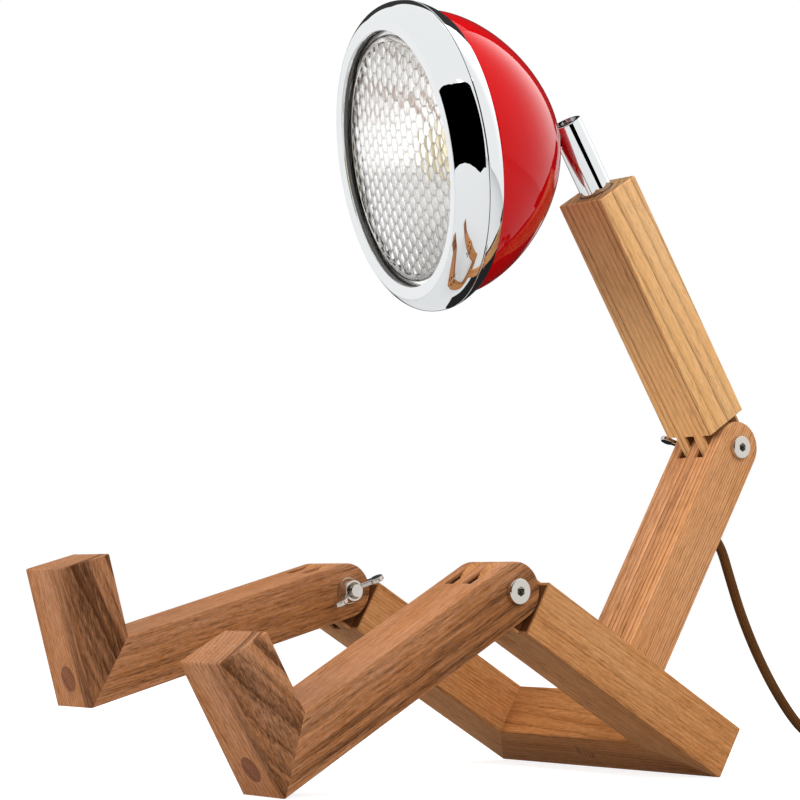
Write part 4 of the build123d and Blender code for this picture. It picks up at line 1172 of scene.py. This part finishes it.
@dataclass(frozen=True)
class Studio:
    """A pale floor, soft lights and the camera."""

    camera_from_waist: Point = (985.147, -923.0256, -74.167)
    right: Point = (0.592553, 0.805508, 0.006149)
    up: Point = (0.055057, -0.048114, 0.997323)
    lens: float = 119.34
    sensor: float = 36.0
    ambient: float = 0.5
    floor_half: float = 4.0  # metres
    floor_albedo: float = 0.4
    floor_glow: float = 0.82
    floor_gleam: float = 0.42
    card_rows: int = 9
    card_lowest: float = 0.003  # metres above the floor
    head_middle: float = 80.0

    def camera(self) -> None:
        """The camera, level with the figure and in front of its left side."""
        data = bpy.data.cameras.new("camera")
        data.lens, data.sensor_width = self.lens, self.sensor
        data.clip_start, data.clip_end = 0.05, 50.0
        made = add_object("camera", data)
        right, up = np.array(self.right), np.array(self.up)
        turn = Matrix(np.stack((right, up, np.cross(right, up)), -1).tolist()).to_4x4()
        spot = level_at("waist").moved(*self.camera_from_waist).origin
        made.matrix_world = Matrix.Translation(spot.tolist()) @ turn
        bpy.context.scene.camera = made

    def world(self) -> None:
        """White to the eye and in reflections, softer as light."""
        world = bpy.data.worlds.new("studio")
        graph = Graph(world)
        path = graph.node("LightPath", out="Is Camera Ray")
        seen = graph.math("MAXIMUM", path, path.node.outputs["Is Glossy Ray"])
        seen = graph.math("MAXIMUM", seen, path.node.outputs["Is Transmission Ray"])
        level = graph.times(seen, 1 - self.ambient, self.ambient)
        graph.show("World", graph.node("Background", WHITE, level))
        bpy.context.scene.world = world

    def flat(self, name: str, points: list, faces: list) -> tuple[Piece, Graph]:
        """A piece of the studio, in metres, and the empty graph of its own material."""
        mesh = bpy.data.meshes.new(name)
        mesh.from_pydata(points, [], faces)
        material = bpy.data.materials.new(name)
        mesh.materials.append(material)
        return add_object(name, mesh), Graph(material)

    def floor(self) -> None:
        """A wide floor that stays white round a soft shadow."""
        half = self.floor_half
        made, graph = self.flat("floor", [(-half, -half, 0), (half, -half, 0), (half, half, 0), (-half, half, 0)],
                                [(0, 1, 2, 3)])
        path = graph.node("LightPath", out="Is Camera Ray")
        seen = graph.math("MAXIMUM", path, path.node.outputs["Is Transmission Ray"])
        level = graph.times(seen, self.floor_glow)
        level = graph.times(path.node.outputs["Is Glossy Ray"], self.floor_gleam, level)
        matt = graph.node("BsdfDiffuse", (*[self.floor_albedo] * 3, 1))
        graph.show("Material", graph.node("AddShader", matt, graph.node("Emission", WHITE, level)))

    def direction(self, azimuth: float, height: float) -> Array:
        """A direction from the lamp: azimuth 0 is back to the camera, 90 the picture's right, in degrees."""
        a, e = math.radians(azimuth), math.radians(height)
        right, up = np.array(self.right), np.array(self.up)
        back = np.cross(right, up)
        return math.cos(e) * (math.sin(a) * right + math.cos(a) * back) + math.sin(e) * up

    def card(self, card: Card) -> None:
        """Puts a card up, with its brightness on its points."""
        middle = POSTURE.head().moved(z=self.head_middle).origin
        rows, levels = [], []
        for (azimuth, low, high), peak in zip(card.columns, card.peaks or [card.rim] * len(card.columns)):
            for share in np.linspace(0, 1, self.card_rows):
                way = self.direction(azimuth, low + share * (high - low))
                reach = card.distance / np.hypot(*way[:2]) if card.distance else (self.card_lowest - middle[2]) / way[2]
                point = middle + reach * way
                rows.append((*point[:2], max(point[2], self.card_lowest)))
                levels.append(card.rim + (peak - card.rim) * math.sin(math.pi * share))
        faces = grid_faces(len(card.columns), self.card_rows, False, False)
        made, graph = self.flat(card.name, rows, faces.tolist())
        marked = made.data.attributes.new("level", "FLOAT", "POINT")
        marked.data.foreach_set("value", np.array(levels, np.float32))
        made.visible_camera = made.visible_diffuse = made.visible_shadow = made.visible_transmission = False
        level = graph.node("Attribute", out="Fac", attribute_name="level")
        graph.show("Material", graph.node("Emission", WHITE, level))

    def softbox(self, name: str, spot: Point, aim: Point, size: float, watts: float, tint: Point, shows: bool) -> None:
        """A square area light that looks at a point, in reflections only if it shows."""
        data = bpy.data.lights.new(name, "AREA")
        data.shape, data.size, data.energy, data.color = "SQUARE", size, watts, tint
        made = add_object(name, data)
        made.visible_glossy = made.visible_transmission = shows
        made.location = spot
        made.rotation_euler = (Vector(aim) - Vector(spot)).to_track_quat("-Z", "Y").to_euler()

    def build(self) -> None:
        """Sets up the camera, the room and the lights."""
        bpy.context.scene.view_settings.view_transform = "Standard"
        self.camera()
        self.world()
        self.floor()
        for card in CARDS:
            self.card(card)
        self.softbox("key", (1.9, -0.3, 1.2), (0, 0.05, 0.15), size=1.4, watts=24, tint=(1.0, 0.97, 0.92), shows=True)
        self.softbox("top", (-0.2, 0.2, 2.2), (0, 0.05, 0.1), size=1.6, watts=25, tint=(0.93, 0.96, 1.0), shows=False)
        self.softbox("front", (-0.4, -1.8, 0.4), (0, 0, 0.15), size=1.2, watts=24, tint=(0.97, 0.97, 1.0), shows=False)
        log.info("studio ready")


def main() -> None:
    """Builds the looks of the whole lamp."""
    make_timber_group()
    make_handling_group()
    Studio().build()
    Cord().build()
    WoodenFigure().build()
    Fasteners().build()
    LampHead().build()


if __name__ == "__main__":
    main()
